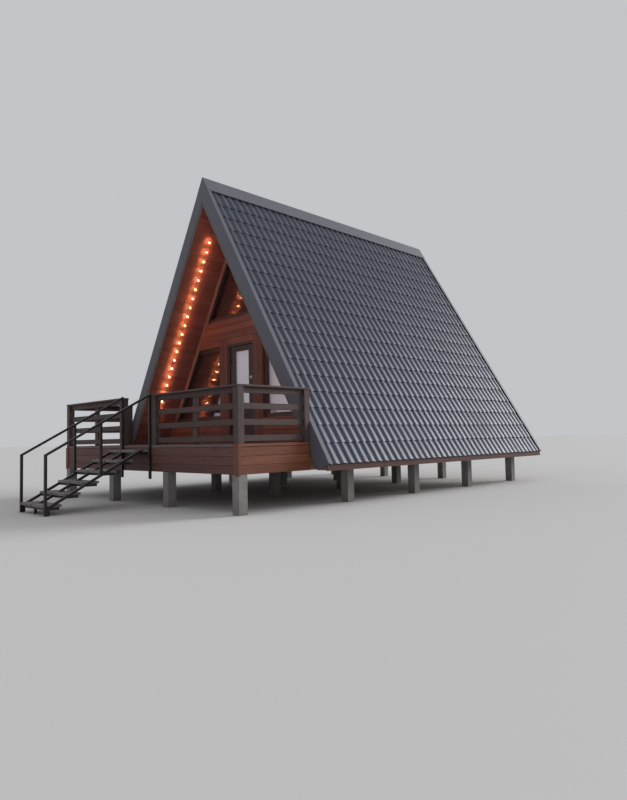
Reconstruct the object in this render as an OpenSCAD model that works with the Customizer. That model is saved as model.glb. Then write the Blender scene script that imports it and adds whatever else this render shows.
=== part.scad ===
// A-frame cabin on concrete piles, with a front porch, an outside stair and a glazed gable at each end.
// Millimetres, +Z up, the front faces -Y. The origin is on the ground, under the middle of the whole length.

/* [Roof] */
// Length of one roof slope, from the ridge line down to the lower edge of the tiles
slope_l = 6700; // [5600:10:7400]
// Length of the roof along the ridge
roof_l = 7500; // [6300:10:9000]
// Angle between one slope and the vertical
apex_half = 30.6; // [27:0.1:34]
// Drop of the tiles' lower edge below the floor
eave_drop = 352; // [300:1:400]
// Length of one row of tiles down the slope
tile_step = 350; // [300:5:400]
// Height of the step between two rows of tiles
tile_lap = 15; // [8:1:25]
// Full thickness of the tiled sheet with its waves
tile_t = 40; // [30:1:50]
// Bare strip between the ridge line and the first row of tiles
tile_gap = 80; // [75:5:110]
// Thickness of the insulated roof panel
panel_t = 230; // [180:5:260]
// Gap between the tiled sheet and the roof panel
panel_gap = 5; // [3:1:10]
// Thickness of the board lining under the roof panel
lining_t = 20; // [15:1:30]
// Width of each wing of the ridge cap
cap_wing = 335; // [250:5:420]
// Thickness of the folded metal trims
metal_t = 6; // [3:1:8]
// Width of the verge trim's flange on the tiles
verge_top_w = 90; // [60:5:130]
// Depth of the verge trim's face on the gable side
verge_face_h = 240; // [200:5:270]
// Thickness of the barge boards behind the verge trim
barge_t = 28; // [20:1:40]
// Distance of the eave board inside the tiles' lower edge
eave_board_in = 65; // [50:1:90]
// Thickness of the eave board
eave_board_t = 25; // [18:1:30]
// Drop of the eave board's lower edge below the tiles' lower edge
eave_board_drop = 118; // [116:1:160]
// Drop of the level cut under the roof panels below the tiles' lower edge
eave_cut_drop = 108; // [90:1:115]

/* [Gables] */
// Distance from the front edge of the roof to the face of the front wall
front_recess = 930; // [700:10:1200]
// Distance from the back edge of the roof to the face of the back wall
back_recess = 600; // [400:10:900]
// Thickness of the gable walls
wall_t = 150; // [120:5:180]
// Half of the doorway's width
door_half = 435; // [400:5:460]
// Height of the doorway and of the lower windows' heads above the floor
head_h = 2110; // [2050:5:2200]
// Height of the sill under the lower windows above the floor
sill_h = 500; // [400:10:740]
// Height of the foot of the upper window above the floor
upper_h = 2680; // [2550:10:2850]
// Distance from the middle of the cabin to the near edge of the lower windows
window_x = 720; // [660:5:800]
// Width of the window frame's bars
frame_w = 75; // [60:5:110]
// Depth of the window frames
frame_d = 70; // [60:1:90]
// Width of the slanted casings along the roof
casing_w = 110; // [80:5:140]
// Thickness of the slanted casings
casing_t = 22; // [15:1:30]
// Set-back of the window frames from the wall's face
frame_back = 40; // [10:1:60]
// Thickness of the glass units
glass_t = 24; // [16:1:32]

/* [Door] */
// Width of the door frame's bars
door_frame_w = 45; // [35:1:60]
// Depth of the door frame
door_frame_d = 110; // [90:5:140]
// Thickness of the door leaf
leaf_t = 45; // [38:1:55]
// Set-back of the door leaf from the wall's face
leaf_back = 25; // [20:1:35]
// Gap all round the leaf
leaf_gap = 8; // [6:1:12]
// Height of the threshold above the floor
threshold_h = 45; // [30:1:60]
// Width of the leaf's stiles
stile_w = 140; // [110:5:160]
// Width of the leaf's top rail
top_rail_w = 95; // [70:5:130]
// Height of the solid lower part of the leaf
kick_h = 690; // [500:10:850]
// Height of the handle above the floor
handle_h = 1360; // [1000:10:1400]
// Width of the handle's square plates
handle_plate_w = 54; // [40:2:60]
// Radius of the hinge knuckles
hinge_r = 9; // [7:1:12]
// Length of one hinge
hinge_l = 110; // [80:5:140]
// Distance of the hinges from the leaf's upper and lower ends
hinge_in = 250; // [150:10:400]
// Gap between the hinges' moving and fixed parts
hinge_gap = 5; // [5:1:7]

/* [Platform] */
// Height of the floor and the porch above the ground
floor_z = 1060; // [1040:5:1100]
// Thickness of the floor boards
board_t = 40; // [30:1:45]
// Depth of the joists
joist_h = 220; // [200:5:230]
// Width of the joists
joist_w = 50; // [40:5:60]
// Greatest pitch of the joists
joist_pitch = 620; // [450:10:700]
// Depth of the bearers
bearer_h = 200; // [180:5:200]
// Gap between the sides of the porch and the foot of the roof lining
porch_gap = 132; // [125:1:300]
// Depth of the porch in front of the roof
porch_d = 1500; // [1300:10:1800]
// Thickness of the fascia boards round the porch
fascia_t = 25; // [20:1:35]
// Width of the porch's corner boards on the front face
corner_board_w = 100; // [80:5:120]
// Width of the porch's corner boards on the side faces
corner_side_w = 45; // [35:5:120]
// Drop of the corner boards below the fascia
corner_drop = 20; // [10:5:40]

/* [Piles] */
// Width of the square concrete piles
pile_w = 160; // [140:5:180]
// Distance between the rows of piles, across and along
pile_pitch = 1950; // [1800:10:1950]

/* [Railing] */
// Height of the railing above the porch
rail_h = 900; // [850:10:1000]
// Width of the square wooden posts
post_w = 120; // [90:5:140]
// Width of the cap board
cap_w = 140; // [120:5:160]
// Thickness of the cap board
cap_t = 32; // [25:1:40]
// Height of one rail board
slat_h = 95; // [80:5:110]
// Thickness of the rail boards and of the middle posts
slat_t = 26; // [20:1:32]
// Number of rail boards in one section
slats = 4; // [3:1:5]
// Gap under the lowest rail board
slat_foot = 35; // [20:5:60]
// Half of the gap in the railing at the stair
gate_half = 520; // [500:5:600]

/* [Stair] */
// Number of treads below the porch
treads = 6; // [5:1:6]
// Height of the last step, from the top tread up to the porch
top_step = 76; // [60:1:120]
// Distance from the front edge of one tread to the next
going = 310; // [280:5:340]
// Depth of a tread
tread_d = 290; // [250:5:320]
// Thickness of a tread
tread_t = 42; // [35:1:50]
// Half of the width of the treads
tread_half = 475; // [460:5:478]
// Distance of the steel frame under a tread inside the tread's front and back edges
tread_lip = 40; // [30:5:45]
// Width of the square steel tubes of the stair and the handrails
steel_w = 40; // [35:1:46]
// Distance from the middle of the stair to the inner face of the outer stringers
stringer_x = 480; // [478:1:490]
// Drop of the stringers' upper face below the line of the treads' front edges
stringer_drop = 50; // [45:1:60]
// Gap between the treads and the middle stringer
plank_gap = 2; // [1:1:5]
// Height of the handrail's lower end above the lowest tread
rail_low_h = 790; // [740:5:850]
// Height of the handrail's upper end above the porch
rail_high_h = 900; // [840:5:950]
// Distance of the foot of the posts on the porch's face below the floor
post_foot_drop = 590; // [500:5:620]

/* [Lights] */
// Distance of the string of lights behind the roof's front edge
lights_y = 380; // [300:10:600]
// Distance between two bulbs
bulb_pitch = 210; // [150:10:220]
// Number of bulbs on each slope
bulbs = 21; // [12:1:21]
// Distance of the first bulb from the ridge, down the slope
bulb_top = 1180; // [1000:10:1250]
// Radius of a bulb
bulb_r = 24; // [18:1:30]
// Radius of a bulb's socket
socket_r = 13; // [10:1:16]
// Length of a bulb's socket
socket_l = 32; // [25:1:40]
// Radius of the cable
cable_r = 4; // [3:1:6]
// Gap between the cable and the lining
cable_gap = 6; // [4:1:10]
// Length of the cable past the last bulb
cable_tail = 60; // [30:5:90]

/* [Curtains] */
// Thickness of the folds of a curtain
curtain_t = 40; // [30:1:60]
// Distance of the window curtain behind the wall
curtain_back = 40; // [25:5:80]
// Height of the window curtain's upper edge above the window's head
curtain_over = 60; // [30:5:100]
// Gap under the window curtain
curtain_foot = 60; // [40:5:100]
// Thickness of the folds of the curtain on the door
door_curtain_t = 16; // [12:1:20]

/* [Hidden] */

wood = "#7a4632";
fascia_wood = "#8e5b41";
railing_wood = "#5a4640";
roof_grey = "#4b4f5a";
trim_grey = "#6c7078";
steel = "#3b3a3c";
concrete = "#a3a09a";
curtain_cloth = "#b9b5b4";
little = 1;

// Heights that follow the floor, and the ridge line where the two tiled faces would meet.
eave_z = floor_z - eave_drop;
ridge_z = eave_z + slope_l * cos(apex_half);
eave_board_z = eave_z - eave_board_drop;
eave_cut_z = eave_z - eave_cut_drop;
head_z = floor_z + head_h;
sill_z = floor_z + sill_h;
upper_z = floor_z + upper_h;
rise = (floor_z - top_step) / treads;

// Lengthwise places: the whole length runs from the first tread's edge to the roof's back edge.
stair_l = treads * going;
verge_y = (porch_d + stair_l - roof_l) / 2;
roof_back_y = verge_y + roof_l;
front_wall_y = verge_y + front_recess;
back_wall_y = roof_back_y - back_recess;
porch_front_y = verge_y - porch_d;
first_tread_y = porch_front_y - stair_l;

// Offsets square to a slope, from the crests of the tiles inwards.
panel_n = -tile_t - panel_gap;
lining_n = panel_n - panel_t;
inner_n = lining_n - lining_t;
wall_n = inner_n - little;
eave_board_x = slope_x(slope_l, 0) - eave_board_in;

// Heights in the platform.
board_z = floor_z - board_t;
joist_z = board_z - joist_h;
bearer_z = joist_z - bearer_h;
porch_half = plane_x(inner_n, bearer_z) - porch_gap;
bearer_w = pile_w - 2 * fascia_t;
first_pile_y = porch_front_y + pile_w / 2;
first_pile_x = porch_half - pile_w / 2;

// Door leaf, with the glazed light between its stiles.
leaf_half = door_half - door_frame_w - leaf_gap;
leaf_z = floor_z + threshold_h + leaf_gap;
leaf_top = head_z - door_frame_w - leaf_gap;
leaf_y = front_wall_y + leaf_back;
light_half = leaf_half - stile_w;
light_z = leaf_z + kick_h;
light_top = leaf_top - top_rail_w;
pin_x = -leaf_half + hinge_r;
pin_y = leaf_y - hinge_r - hinge_gap;
hinge_zs = [leaf_z + hinge_in, leaf_top - hinge_in - hinge_l];
hinge_plate_t = 4;
stop_w = 14;

// Points and lines on a slope: s runs down the slope from the ridge line, n is square to it.
function slope_x(s, n) = s * sin(apex_half) + n * cos(apex_half);
function slope_z(s, n) = ridge_z - s * cos(apex_half) + n * sin(apex_half);
function slope_point(side, s, n) = [side * slope_x(s, n), slope_z(s, n)];
function plane_x(n, z) = (ridge_z + n / sin(apex_half) - z) * tan(apex_half);
function plane_z(n, x) = ridge_z + n / sin(apex_half) - x / tan(apex_half);

// Convex outline moved inwards by d: every corner slides along its mitre line.
function unit(v) = v / norm(v);
function left_normal(a, b) = let (u = unit(b - a)) [-u[1], u[0]];
function inset(points, d) =
    let (count = len(points))
    [for (i = [0 : count - 1])
        let (before = left_normal(points[(i + count - 1) % count], points[i]),
             after = left_normal(points[i], points[(i + 1) % count]))
        points[i] + d * (before + after) / (1 + before * after)];
function mirrored(points) = [for (i = [len(points) - 1 : -1 : 0]) [-points[i][0], points[i][1]]];

// Outline in X and Z, given a length along Y.
module standing(y, depth) {
    translate([0, y + depth, 0]) rotate([90, 0, 0]) linear_extrude(depth) children();
}

// Outline in Y and Z, given a width along X.
module sideways(x, width) {
    translate([x, 0, 0]) rotate([90, 0, 90]) linear_extrude(width) children();
}

module box(x, y, z, w, d, h) {
    translate([x, y, z]) cube([w, d, h]);
}

// Both hands of a piece drawn on the +X side.
module both_sides() {
    children();
    mirror([1, 0, 0]) children();
}

// Piles and floor. One row of piles stands under the porch's front edge, the other four under the cabin.
pile_ys = concat([first_pile_y], [for (row = [3 : -1 : 0]) back_wall_y - pile_w / 2 - row * pile_pitch]);

module piles() {
    color(concrete)
        for (y = pile_ys, column = [-1.5 : 1 : 1.5])
            box(column * first_pile_x * 2 / 3 - pile_w / 2, y - pile_w / 2, 0, pile_w, pile_w, bearer_z);
}

module floor_bearers() {
    length = back_wall_y - porch_front_y - fascia_t;
    color(wood)
        for (column = [-1.5 : 1 : 1.5])
            box(column * first_pile_x * 2 / 3 - bearer_w / 2, porch_front_y + fascia_t, bearer_z,
                bearer_w, length, bearer_h);
}

// Outline of the floor between the linings, from one height to another.
module floor_outline(low, high) {
    polygon([[-plane_x(wall_n, low), low], [plane_x(wall_n, low), low],
             [plane_x(wall_n, high), high], [-plane_x(wall_n, high), high]]);
}

// Places of evenly spaced joists, with one at each end.
function joist_ys(first, last) =
    let (bays = ceil((last - first) / joist_pitch))
    [for (i = [0 : bays]) first + i * (last - first) / bays];

module floor_joists() {
    color(wood) {
        for (y = joist_ys(porch_front_y + fascia_t, verge_y - joist_w))
            box(-porch_half + fascia_t, y, joist_z, 2 * (porch_half - fascia_t), joist_w, joist_h);
        for (y = joist_ys(verge_y + metal_t + barge_t, back_wall_y - joist_w))
            standing(y, joist_w) floor_outline(joist_z, board_z);
    }
}

module floor_boards() {
    color(wood)
        standing(front_wall_y, back_wall_y - front_wall_y) floor_outline(board_z, floor_z);
}

module porch_boards() {
    color(railing_wood) {
        box(-porch_half, porch_front_y, board_z, 2 * porch_half, porch_d, board_t);
        standing(verge_y, front_recess) floor_outline(board_z, floor_z);
    }
}

// Porch cladding.
module porch_fascia_front() {
    color(fascia_wood)
        box(-porch_half, porch_front_y, bearer_z, 2 * porch_half, fascia_t, board_z - bearer_z);
}

module porch_fascia_sides() {
    color(fascia_wood)
        both_sides()
            box(porch_half - fascia_t, porch_front_y + fascia_t, bearer_z,
                fascia_t, porch_d - fascia_t, board_z - bearer_z);
}

module porch_corner_boards() {
    height = board_z - bearer_z + corner_drop;
    color(fascia_wood)
        both_sides()
            union() {
                box(porch_half, porch_front_y - fascia_t / 2, bearer_z - corner_drop,
                    fascia_t / 2, corner_side_w, height);
                box(porch_half - corner_board_w, porch_front_y - fascia_t / 2, bearer_z - corner_drop,
                    corner_board_w, fascia_t / 2, height);
            }
}

// Roof.
module roof_panel(side) {
    y = verge_y + metal_t + barge_t;
    color(wood)
        standing(y, roof_l - 2 * (metal_t + barge_t))
            polygon([[0, plane_z(panel_n, 0)], [side * eave_board_x, plane_z(panel_n, eave_board_x)],
                     [side * eave_board_x, eave_cut_z], [side * plane_x(lining_n, eave_cut_z), eave_cut_z],
                     [0, plane_z(lining_n, 0)]]);
}

module roof_lining(side) {
    y = verge_y + metal_t + barge_t;
    color(wood)
        standing(y, roof_l - 2 * (metal_t + barge_t))
            polygon([[0, plane_z(lining_n, 0)], [side * plane_x(lining_n, eave_cut_z), eave_cut_z],
                     [side * plane_x(inner_n, eave_cut_z), eave_cut_z], [0, plane_z(inner_n, 0)]]);
}

// Rows of tiles: each row rises to its lower edge and drops by the lap to the next one.
tile_rows = floor(slope_l / tile_step);
function row_start(row) = row == 0 ? tile_gap : row * tile_step;
function row_end(row) = row == tile_rows - 1 ? slope_l : (row + 1) * tile_step;

module tile_sheet(side) {
    teeth = [for (row = [0 : tile_rows - 1], tip = [0, 1])
                tip == 0 ? slope_point(side, row_start(row), -tile_lap) : slope_point(side, row_end(row), 0)];
    color(roof_grey)
        standing(verge_y + metal_t, roof_l - 2 * metal_t)
            polygon(concat(teeth, [slope_point(side, slope_l, -tile_t),
                                   slope_point(side, tile_gap, -tile_t)]));
}

module ridge_cap() {
    lift = metal_t;
    lip = lift - 1;
    wing = [[0, plane_z(lift + metal_t, 0)], slope_point(1, cap_wing, lift + metal_t),
            slope_point(1, cap_wing, lift - lip), slope_point(1, cap_wing - metal_t, lift - lip),
            slope_point(1, cap_wing - metal_t, lift), [0, plane_z(lift, 0)]];
    color(trim_grey)
        standing(verge_y, roof_l)
            union() {
                polygon(wing);
                polygon(mirrored(wing));
            }
}

// A pair of barge boards at each end of the roof, joined at the ridge.
module barge_boards() {
    slope_edge = [[eave_board_x, plane_z(panel_n, eave_board_x)], [eave_board_x, eave_cut_z],
                  [plane_x(inner_n, eave_cut_z), eave_cut_z]];
    color(wood)
        for (y = [verge_y + metal_t, roof_back_y - metal_t - barge_t])
            standing(y, barge_t)
                polygon(concat([[0, plane_z(panel_n, 0)]], slope_edge, [[0, plane_z(inner_n, 0)]],
                               mirrored(slope_edge)));
}

// Folded trims over the roof's two ends: a face on the gable side and a flange on the tiles.
module verge_trims() {
    flange_s = cap_wing + little;
    face = [slope_point(1, flange_s, 0), slope_point(1, flange_s, metal_t), slope_point(1, slope_l, metal_t),
            slope_point(1, slope_l, -tile_t), slope_point(1, slope_l - tile_t, -verge_face_h)];
    flange = [slope_point(1, flange_s, 0), slope_point(1, flange_s, metal_t),
              slope_point(1, slope_l, metal_t), slope_point(1, slope_l, 0)];
    color(trim_grey)
        for (front = [true, false])
            union() {
                standing(front ? verge_y : roof_back_y - metal_t, metal_t)
                    polygon(concat([[0, plane_z(0, 0)]], face, [[0, plane_z(-verge_face_h, 0)]],
                                   mirrored(face)));
                both_sides()
                    standing(front ? verge_y : roof_back_y - verge_top_w, verge_top_w) polygon(flange);
            }
}

module eave_boards() {
    y = verge_y + metal_t;
    top = plane_z(panel_n, eave_board_x + eave_board_t);
    color(fascia_wood)
        both_sides()
            box(eave_board_x, y, eave_board_z, eave_board_t, roof_l - 2 * metal_t, top - eave_board_z);
}

// Gable walls: the outer edges lie on the lining, so that the lower windows run right up to the roof.
module gable_half() {
    difference() {
        polygon([[door_half, floor_z], [plane_x(wall_n, floor_z), floor_z],
                 [plane_x(wall_n, upper_z), upper_z], [door_half, upper_z]]);
        polygon([[window_x, sill_z], [plane_x(wall_n, sill_z) + little, sill_z],
                 [plane_x(wall_n, head_z) + little, head_z], [window_x, head_z]]);
    }
}

module front_wall_right() {
    color(wood) standing(front_wall_y, wall_t) gable_half();
}

module front_wall_left() {
    color(wood) standing(front_wall_y, wall_t) mirror([1, 0]) gable_half();
}

module front_wall_over_door() {
    color(wood) box(-door_half, front_wall_y, head_z, 2 * door_half, wall_t, upper_z - head_z);
}

module back_wall() {
    color(wood)
        standing(back_wall_y - wall_t, wall_t)
            union() {
                gable_half();
                mirror([1, 0]) gable_half();
                polygon([[-door_half - little, floor_z], [door_half + little, floor_z],
                         [door_half + little, upper_z], [-door_half - little, upper_z]]);
            }
}

// Slanted casings on the face of a gable wall, along the lining, joined at the ridge.
module gable_casings() {
    inside_n = wall_n - casing_w;
    edge = [[plane_x(wall_n, floor_z), floor_z], [0, plane_z(wall_n, 0)],
            [-plane_x(wall_n, floor_z), floor_z], [-plane_x(inside_n, floor_z), floor_z],
            [0, plane_z(inside_n, 0)], [plane_x(inside_n, floor_z), floor_z]];
    color(wood)
        for (y = [front_wall_y - casing_t, back_wall_y])
            standing(y, casing_t) polygon(edge);
}

// Window outlines, counter-clockwise: the slanted sides follow the lining.
lower_window = [[window_x, sill_z], [plane_x(wall_n, sill_z), sill_z], [plane_x(wall_n, head_z), head_z],
                [window_x, head_z]];
upper_window = [[-plane_x(wall_n, upper_z), upper_z], [plane_x(wall_n, upper_z), upper_z],
                [0, plane_z(wall_n, 0)]];
gable_windows = [upper_window, lower_window, mirrored(lower_window)];
front_frame_y = front_wall_y + frame_back;
back_frame_y = back_wall_y - frame_back - frame_d;

module window_frames(y) {
    color(wood)
        for (outline = gable_windows)
            standing(y, frame_d)
                difference() {
                    polygon(outline);
                    polygon(inset(outline, frame_w));
                }
}

module window_glass(y) {
    color("#20262c", 0.6)
        for (outline = gable_windows)
            standing(y + (frame_d - glass_t) / 2, glass_t) polygon(inset(outline, frame_w));
}

// Door.
// Fixed knuckles of one hinge, over and under the moving one, each on a plate from the frame.
module fixed_knuckles(z) {
    knuckle_l = hinge_l / 3;
    for (low = [z - hinge_gap - knuckle_l, z + hinge_l + hinge_gap]) {
        translate([pin_x, pin_y, low]) cylinder(h = knuckle_l, r = hinge_r, $fn = 32);
        box(-door_half + door_frame_w, pin_y - hinge_plate_t / 2, low,
            pin_x + door_half - door_frame_w, hinge_plate_t, knuckle_l);
    }
}

module door_frame() {
    seal_gap = 5;
    stop_y = leaf_y + leaf_t + seal_gap;
    inner = door_half - door_frame_w;
    top = head_z - door_frame_w;
    color(wood)
        union() {
            both_sides()
                box(inner, front_wall_y, floor_z, door_frame_w, door_frame_d, head_z - floor_z);
            box(-door_half, front_wall_y, top, 2 * door_half, door_frame_d, door_frame_w);
            box(-door_half, front_wall_y, floor_z, 2 * door_half, door_frame_d, threshold_h);
            both_sides()
                box(inner - stop_w, stop_y, floor_z, stop_w + little, stop_w, top - floor_z + little);
            box(-inner, stop_y, top - stop_w, 2 * inner, stop_w, stop_w + little);
            for (z = hinge_zs) fixed_knuckles(z);
        }
}

module door_leaf() {
    color(wood)
        standing(leaf_y, leaf_t)
            difference() {
                polygon([[-leaf_half, leaf_z], [leaf_half, leaf_z],
                         [leaf_half, leaf_top], [-leaf_half, leaf_top]]);
                polygon([[-light_half, light_z], [light_half, light_z],
                         [light_half, light_top], [-light_half, light_top]]);
            }
}

module door_glass() {
    color("#20262c", 0.6)
        box(-light_half, leaf_y + (leaf_t - glass_t) / 2, light_z,
            2 * light_half, glass_t, light_top - light_z);
}

// Lever handles on both faces, each on its own plate.
module door_handle() {
    x = leaf_half - stile_w / 2;
    z = floor_z + handle_h;
    plate_t = 6;
    neck = 38;
    neck_r = 9;
    lever_r = 8;
    lever_l = 110;
    color("#c9c7c2")
        for (out = [-1, 1]) {
            face = out < 0 ? leaf_y : leaf_y + leaf_t;
            plate_y = out < 0 ? face - plate_t : face;
            union() {
                box(x - handle_plate_w / 2, plate_y, z - handle_plate_w / 2,
                    handle_plate_w, plate_t, handle_plate_w);
                translate([x, face, z])
                    rotate([-out * 90, 0, 0])
                        cylinder(h = neck, r = neck_r, $fn = 24);
                translate([x, face + out * (neck - plate_t), z])
                    rotate([0, -90, 0])
                        cylinder(h = lever_l, r = lever_r, $fn = 24);
            }
        }
}

module door_hinges() {
    leaf_plate_w = 40;
    color("#c9c7c2")
        for (z = hinge_zs)
            union() {
                translate([pin_x, pin_y, z]) cylinder(h = hinge_l, r = hinge_r, $fn = 32);
                box(pin_x, pin_y, z, hinge_r, leaf_y - pin_y, hinge_l);
                box(pin_x, leaf_y - hinge_plate_t, z, leaf_plate_w, hinge_plate_t, hinge_l);
            }
}

// Curtains: plain closed solids in the space of the hung cloth.
module door_curtain() {
    margin = 25;
    cloth_gap = 2;
    color(curtain_cloth)
        box(-light_half - margin, leaf_y + leaf_t + cloth_gap, light_z - margin,
            2 * (light_half + margin), door_curtain_t, light_top - light_z + 2 * margin);
}

module window_curtain() {
    y = front_wall_y + wall_t + curtain_back;
    low = floor_z + curtain_foot;
    high = head_z + curtain_over;
    inner_x = window_x - frame_w;
    gap = 60;
    color(curtain_cloth)
        standing(y, curtain_t)
            polygon([[inner_x, low], [plane_x(inner_n, low) - gap, low], [plane_x(inner_n, high) - gap, high],
                     [inner_x, high]]);
}

// Railing.
post_h = rail_h - cap_t;
slat_pitch = (post_h - slat_foot - slat_h) / (slats - 1);

module railing_posts() {
    color(railing_wood)
        both_sides() {
            box(gate_half, porch_front_y, floor_z, post_w, post_w, post_h);
            box(porch_half - post_w, porch_front_y, floor_z, post_w, post_w, post_h);
            box(porch_half - post_w, verge_y - post_w - little, floor_z, post_w, post_w, post_h);
        }
}

// One section along X: a cap, the rail boards between the posts and a middle post behind them.
module railing_front(side) {
    near = gate_half + post_w;
    far = porch_half - post_w;
    slat_y = porch_front_y + (post_w - slat_t) / 2;
    color(railing_wood)
        mirror([side > 0 ? 0 : 1, 0, 0])
            union() {
                for (slat = [0 : slats - 1])
                    box(near, slat_y, floor_z + slat_foot + slat * slat_pitch, far - near, slat_t, slat_h);
                box((near + far - post_w) / 2, slat_y + slat_t - little, floor_z, post_w, slat_t * 2, post_h);
                box(gate_half, porch_front_y + (post_w - cap_w) / 2, floor_z + post_h,
                    porch_half - gate_half, cap_w, cap_t);
            }
}

// One section along Y, from the corner post back to the roof.
module railing_side(side) {
    near = porch_front_y + post_w;
    far = verge_y - post_w - little;
    cap_y = porch_front_y + (post_w + cap_w) / 2;
    slat_x = porch_half - (post_w + slat_t) / 2;
    color(railing_wood)
        mirror([side > 0 ? 0 : 1, 0, 0])
            for (piece = [0 : slats])
                if (piece < slats)
                    box(slat_x, near, floor_z + slat_foot + piece * slat_pitch, slat_t, far - near, slat_h);
                else
                    box(porch_half - (post_w + cap_w) / 2, cap_y, floor_z + post_h,
                        cap_w, verge_y - little - cap_y, cap_t);
}

// Stair. The line of the stair joins the front edges of the treads.
pitch_angle = atan(rise / going);
low_post_y = first_tread_y;
high_post_y = porch_front_y - steel_w;
mid_post_y = (low_post_y + high_post_y) / 2;
function tread_z(k) = k * rise;
function tread_y(k) = first_tread_y + (k - 1) * going;
function bar_z(y) = rise - stringer_drop + (y - first_tread_y) * rise / going;
function bar_y(z) = first_tread_y + (z - rise + stringer_drop) * going / rise;

// Each step has two short planks, one on each side of the middle stringer.
module stair_treads() {
    inner = steel_w / 2 + plank_gap;
    color(wood)
        for (x = [-tread_half, inner], k = [1 : treads])
            box(x, tread_y(k), tread_z(k) - tread_t, tread_half - inner, tread_d, tread_t);
}

// Stringer: a sloping tube beside the treads, from a leg at its foot up to the highest tread.
module stringer(x) {
    upright = steel_w / cos(pitch_angle);
    foot_y = low_post_y + steel_w;
    top = tread_z(treads);
    sideways(x, steel_w)
        polygon([[foot_y, 0], [foot_y + steel_w, 0], [foot_y + steel_w, bar_z(foot_y + steel_w) - upright],
                 [bar_y(top + upright), top], [bar_y(top), top], [foot_y, bar_z(foot_y)]]);
}

// Level frame of tubes under one step, welded between the stringers.
module tread_frame(k) {
    depth = tread_d - 2 * tread_lip;
    translate([0, tread_y(k) + tread_lip, tread_z(k) - tread_t - steel_w])
        difference() {
            box(-stringer_x - little, 0, 0, 2 * (stringer_x + little), depth, steel_w);
            box(-stringer_x + steel_w, steel_w, -little, 2 * (stringer_x - steel_w),
                depth - 2 * steel_w, steel_w + 2 * little);
        }
}

// Two tubes tie the highest frame to the porch.
module stair_stringers() {
    tie_y = tread_y(treads) + tread_d - tread_lip - little;
    color(steel)
        union() {
            for (x = [-stringer_x - steel_w, -steel_w / 2, stringer_x])
                stringer(x);
            for (k = [1 : treads])
                tread_frame(k);
            for (x = [-stringer_x, stringer_x - steel_w])
                box(x, tie_y, tread_z(treads) - tread_t - steel_w, steel_w, porch_front_y - tie_y, steel_w);
        }
}

// Handrail of square tube: a rail on three posts. The middle post stands on the stringer.
rail_low_z = tread_z(1) + rail_low_h;
rail_high_z = floor_z + rail_high_h;
function rail_z(y) = rail_low_z + (y - low_post_y) * (rail_high_z - rail_low_z) / (high_post_y - low_post_y);

module rail_post(y, front_foot, back_foot) {
    polygon([[y, front_foot], [y + steel_w, back_foot], [y + steel_w, rail_z(y + steel_w) - steel_w / 2],
             [y, rail_z(y) - steel_w / 2]]);
}

module handrail(side) {
    high_foot = floor_z - post_foot_drop;
    color(steel)
        sideways(side > 0 ? stringer_x : -stringer_x - steel_w, steel_w)
            union() {
                polygon([[low_post_y, rail_low_z - steel_w], [porch_front_y, rail_z(porch_front_y) - steel_w],
                         [porch_front_y, rail_z(porch_front_y)], [low_post_y, rail_low_z]]);
                rail_post(low_post_y, 0, 0);
                rail_post(mid_post_y, bar_z(mid_post_y), bar_z(mid_post_y + steel_w));
                rail_post(high_post_y, high_foot, high_foot);
            }
}

// String of lights under both slopes, one cable from end to end over the ridge.
cable_n = inner_n - cable_r - cable_gap;
bulb_end = bulb_top + (bulbs - 1) * bulb_pitch;

module along_slope(side, s, n) {
    translate([side * slope_x(s, n), verge_y + lights_y, slope_z(s, n)])
        rotate([0, side * (180 - apex_half), 0])
            children();
}

module light_cable() {
    top_s = -cable_n / tan(apex_half);
    color("#3a2a24")
        union() {
            for (side = [-1, 1])
                along_slope(side, top_s, cable_n)
                    cylinder(h = bulb_end + cable_tail - top_s, r = cable_r, $fn = 16);
            translate([0, verge_y + lights_y, plane_z(cable_n, 0)]) sphere(r = cable_r, $fn = 16);
        }
}

module light_bulbs() {
    color("#ffb060")
        for (side = [-1, 1], i = [0 : bulbs - 1])
            along_slope(side, bulb_top + i * bulb_pitch, cable_n - cable_r)
                rotate([0, side * 90, 0])
                    union() {
                        cylinder(h = socket_l, r = socket_r, $fn = 20);
                        translate([0, 0, socket_l + bulb_r * 0.6]) sphere(r = bulb_r, $fn = 24);
                    }
}

piles();
floor_bearers();
floor_joists();
floor_boards();
porch_boards();
porch_fascia_front();
porch_fascia_sides();
porch_corner_boards();
roof_panel(-1);  // roof_panel_left
roof_panel(1);  // roof_panel_right
roof_lining(-1);  // roof_lining_left
roof_lining(1);  // roof_lining_right
tile_sheet(-1);  // tile_sheet_left
tile_sheet(1);  // tile_sheet_right
ridge_cap();
barge_boards();
verge_trims();
eave_boards();
gable_casings();
front_wall_left();
front_wall_right();
front_wall_over_door();
back_wall();
window_frames(front_frame_y);  // front_window_frames
window_glass(front_frame_y);  // front_window_glass
window_frames(back_frame_y);  // back_window_frames
window_glass(back_frame_y);  // back_window_glass
door_frame();
door_leaf();
door_glass();
door_handle();
door_hinges();
door_curtain();
window_curtain();
railing_posts();
railing_front(-1);  // railing_front_left
railing_front(1);  // railing_front_right
railing_side(-1);  // railing_left
railing_side(1);  // railing_right
stair_stringers();
stair_treads();
handrail(-1);  // handrail_left
handrail(1);  // handrail_right
light_cable();
light_bulbs();
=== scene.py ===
"""Looks of an A-frame cabin with a tiled metal roof, a railed porch and an open stair.

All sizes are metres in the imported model's frame: X across the gable, Y from the stair to the
back, Z up, and the origin on the ground under the ridge.
"""
import logging
import math
from dataclasses import dataclass, replace
from enum import Enum
from typing import Any, ClassVar, Iterable, Mapping, Sequence

import bpy
import numpy as np
from mathutils import Matrix, Vector


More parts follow.
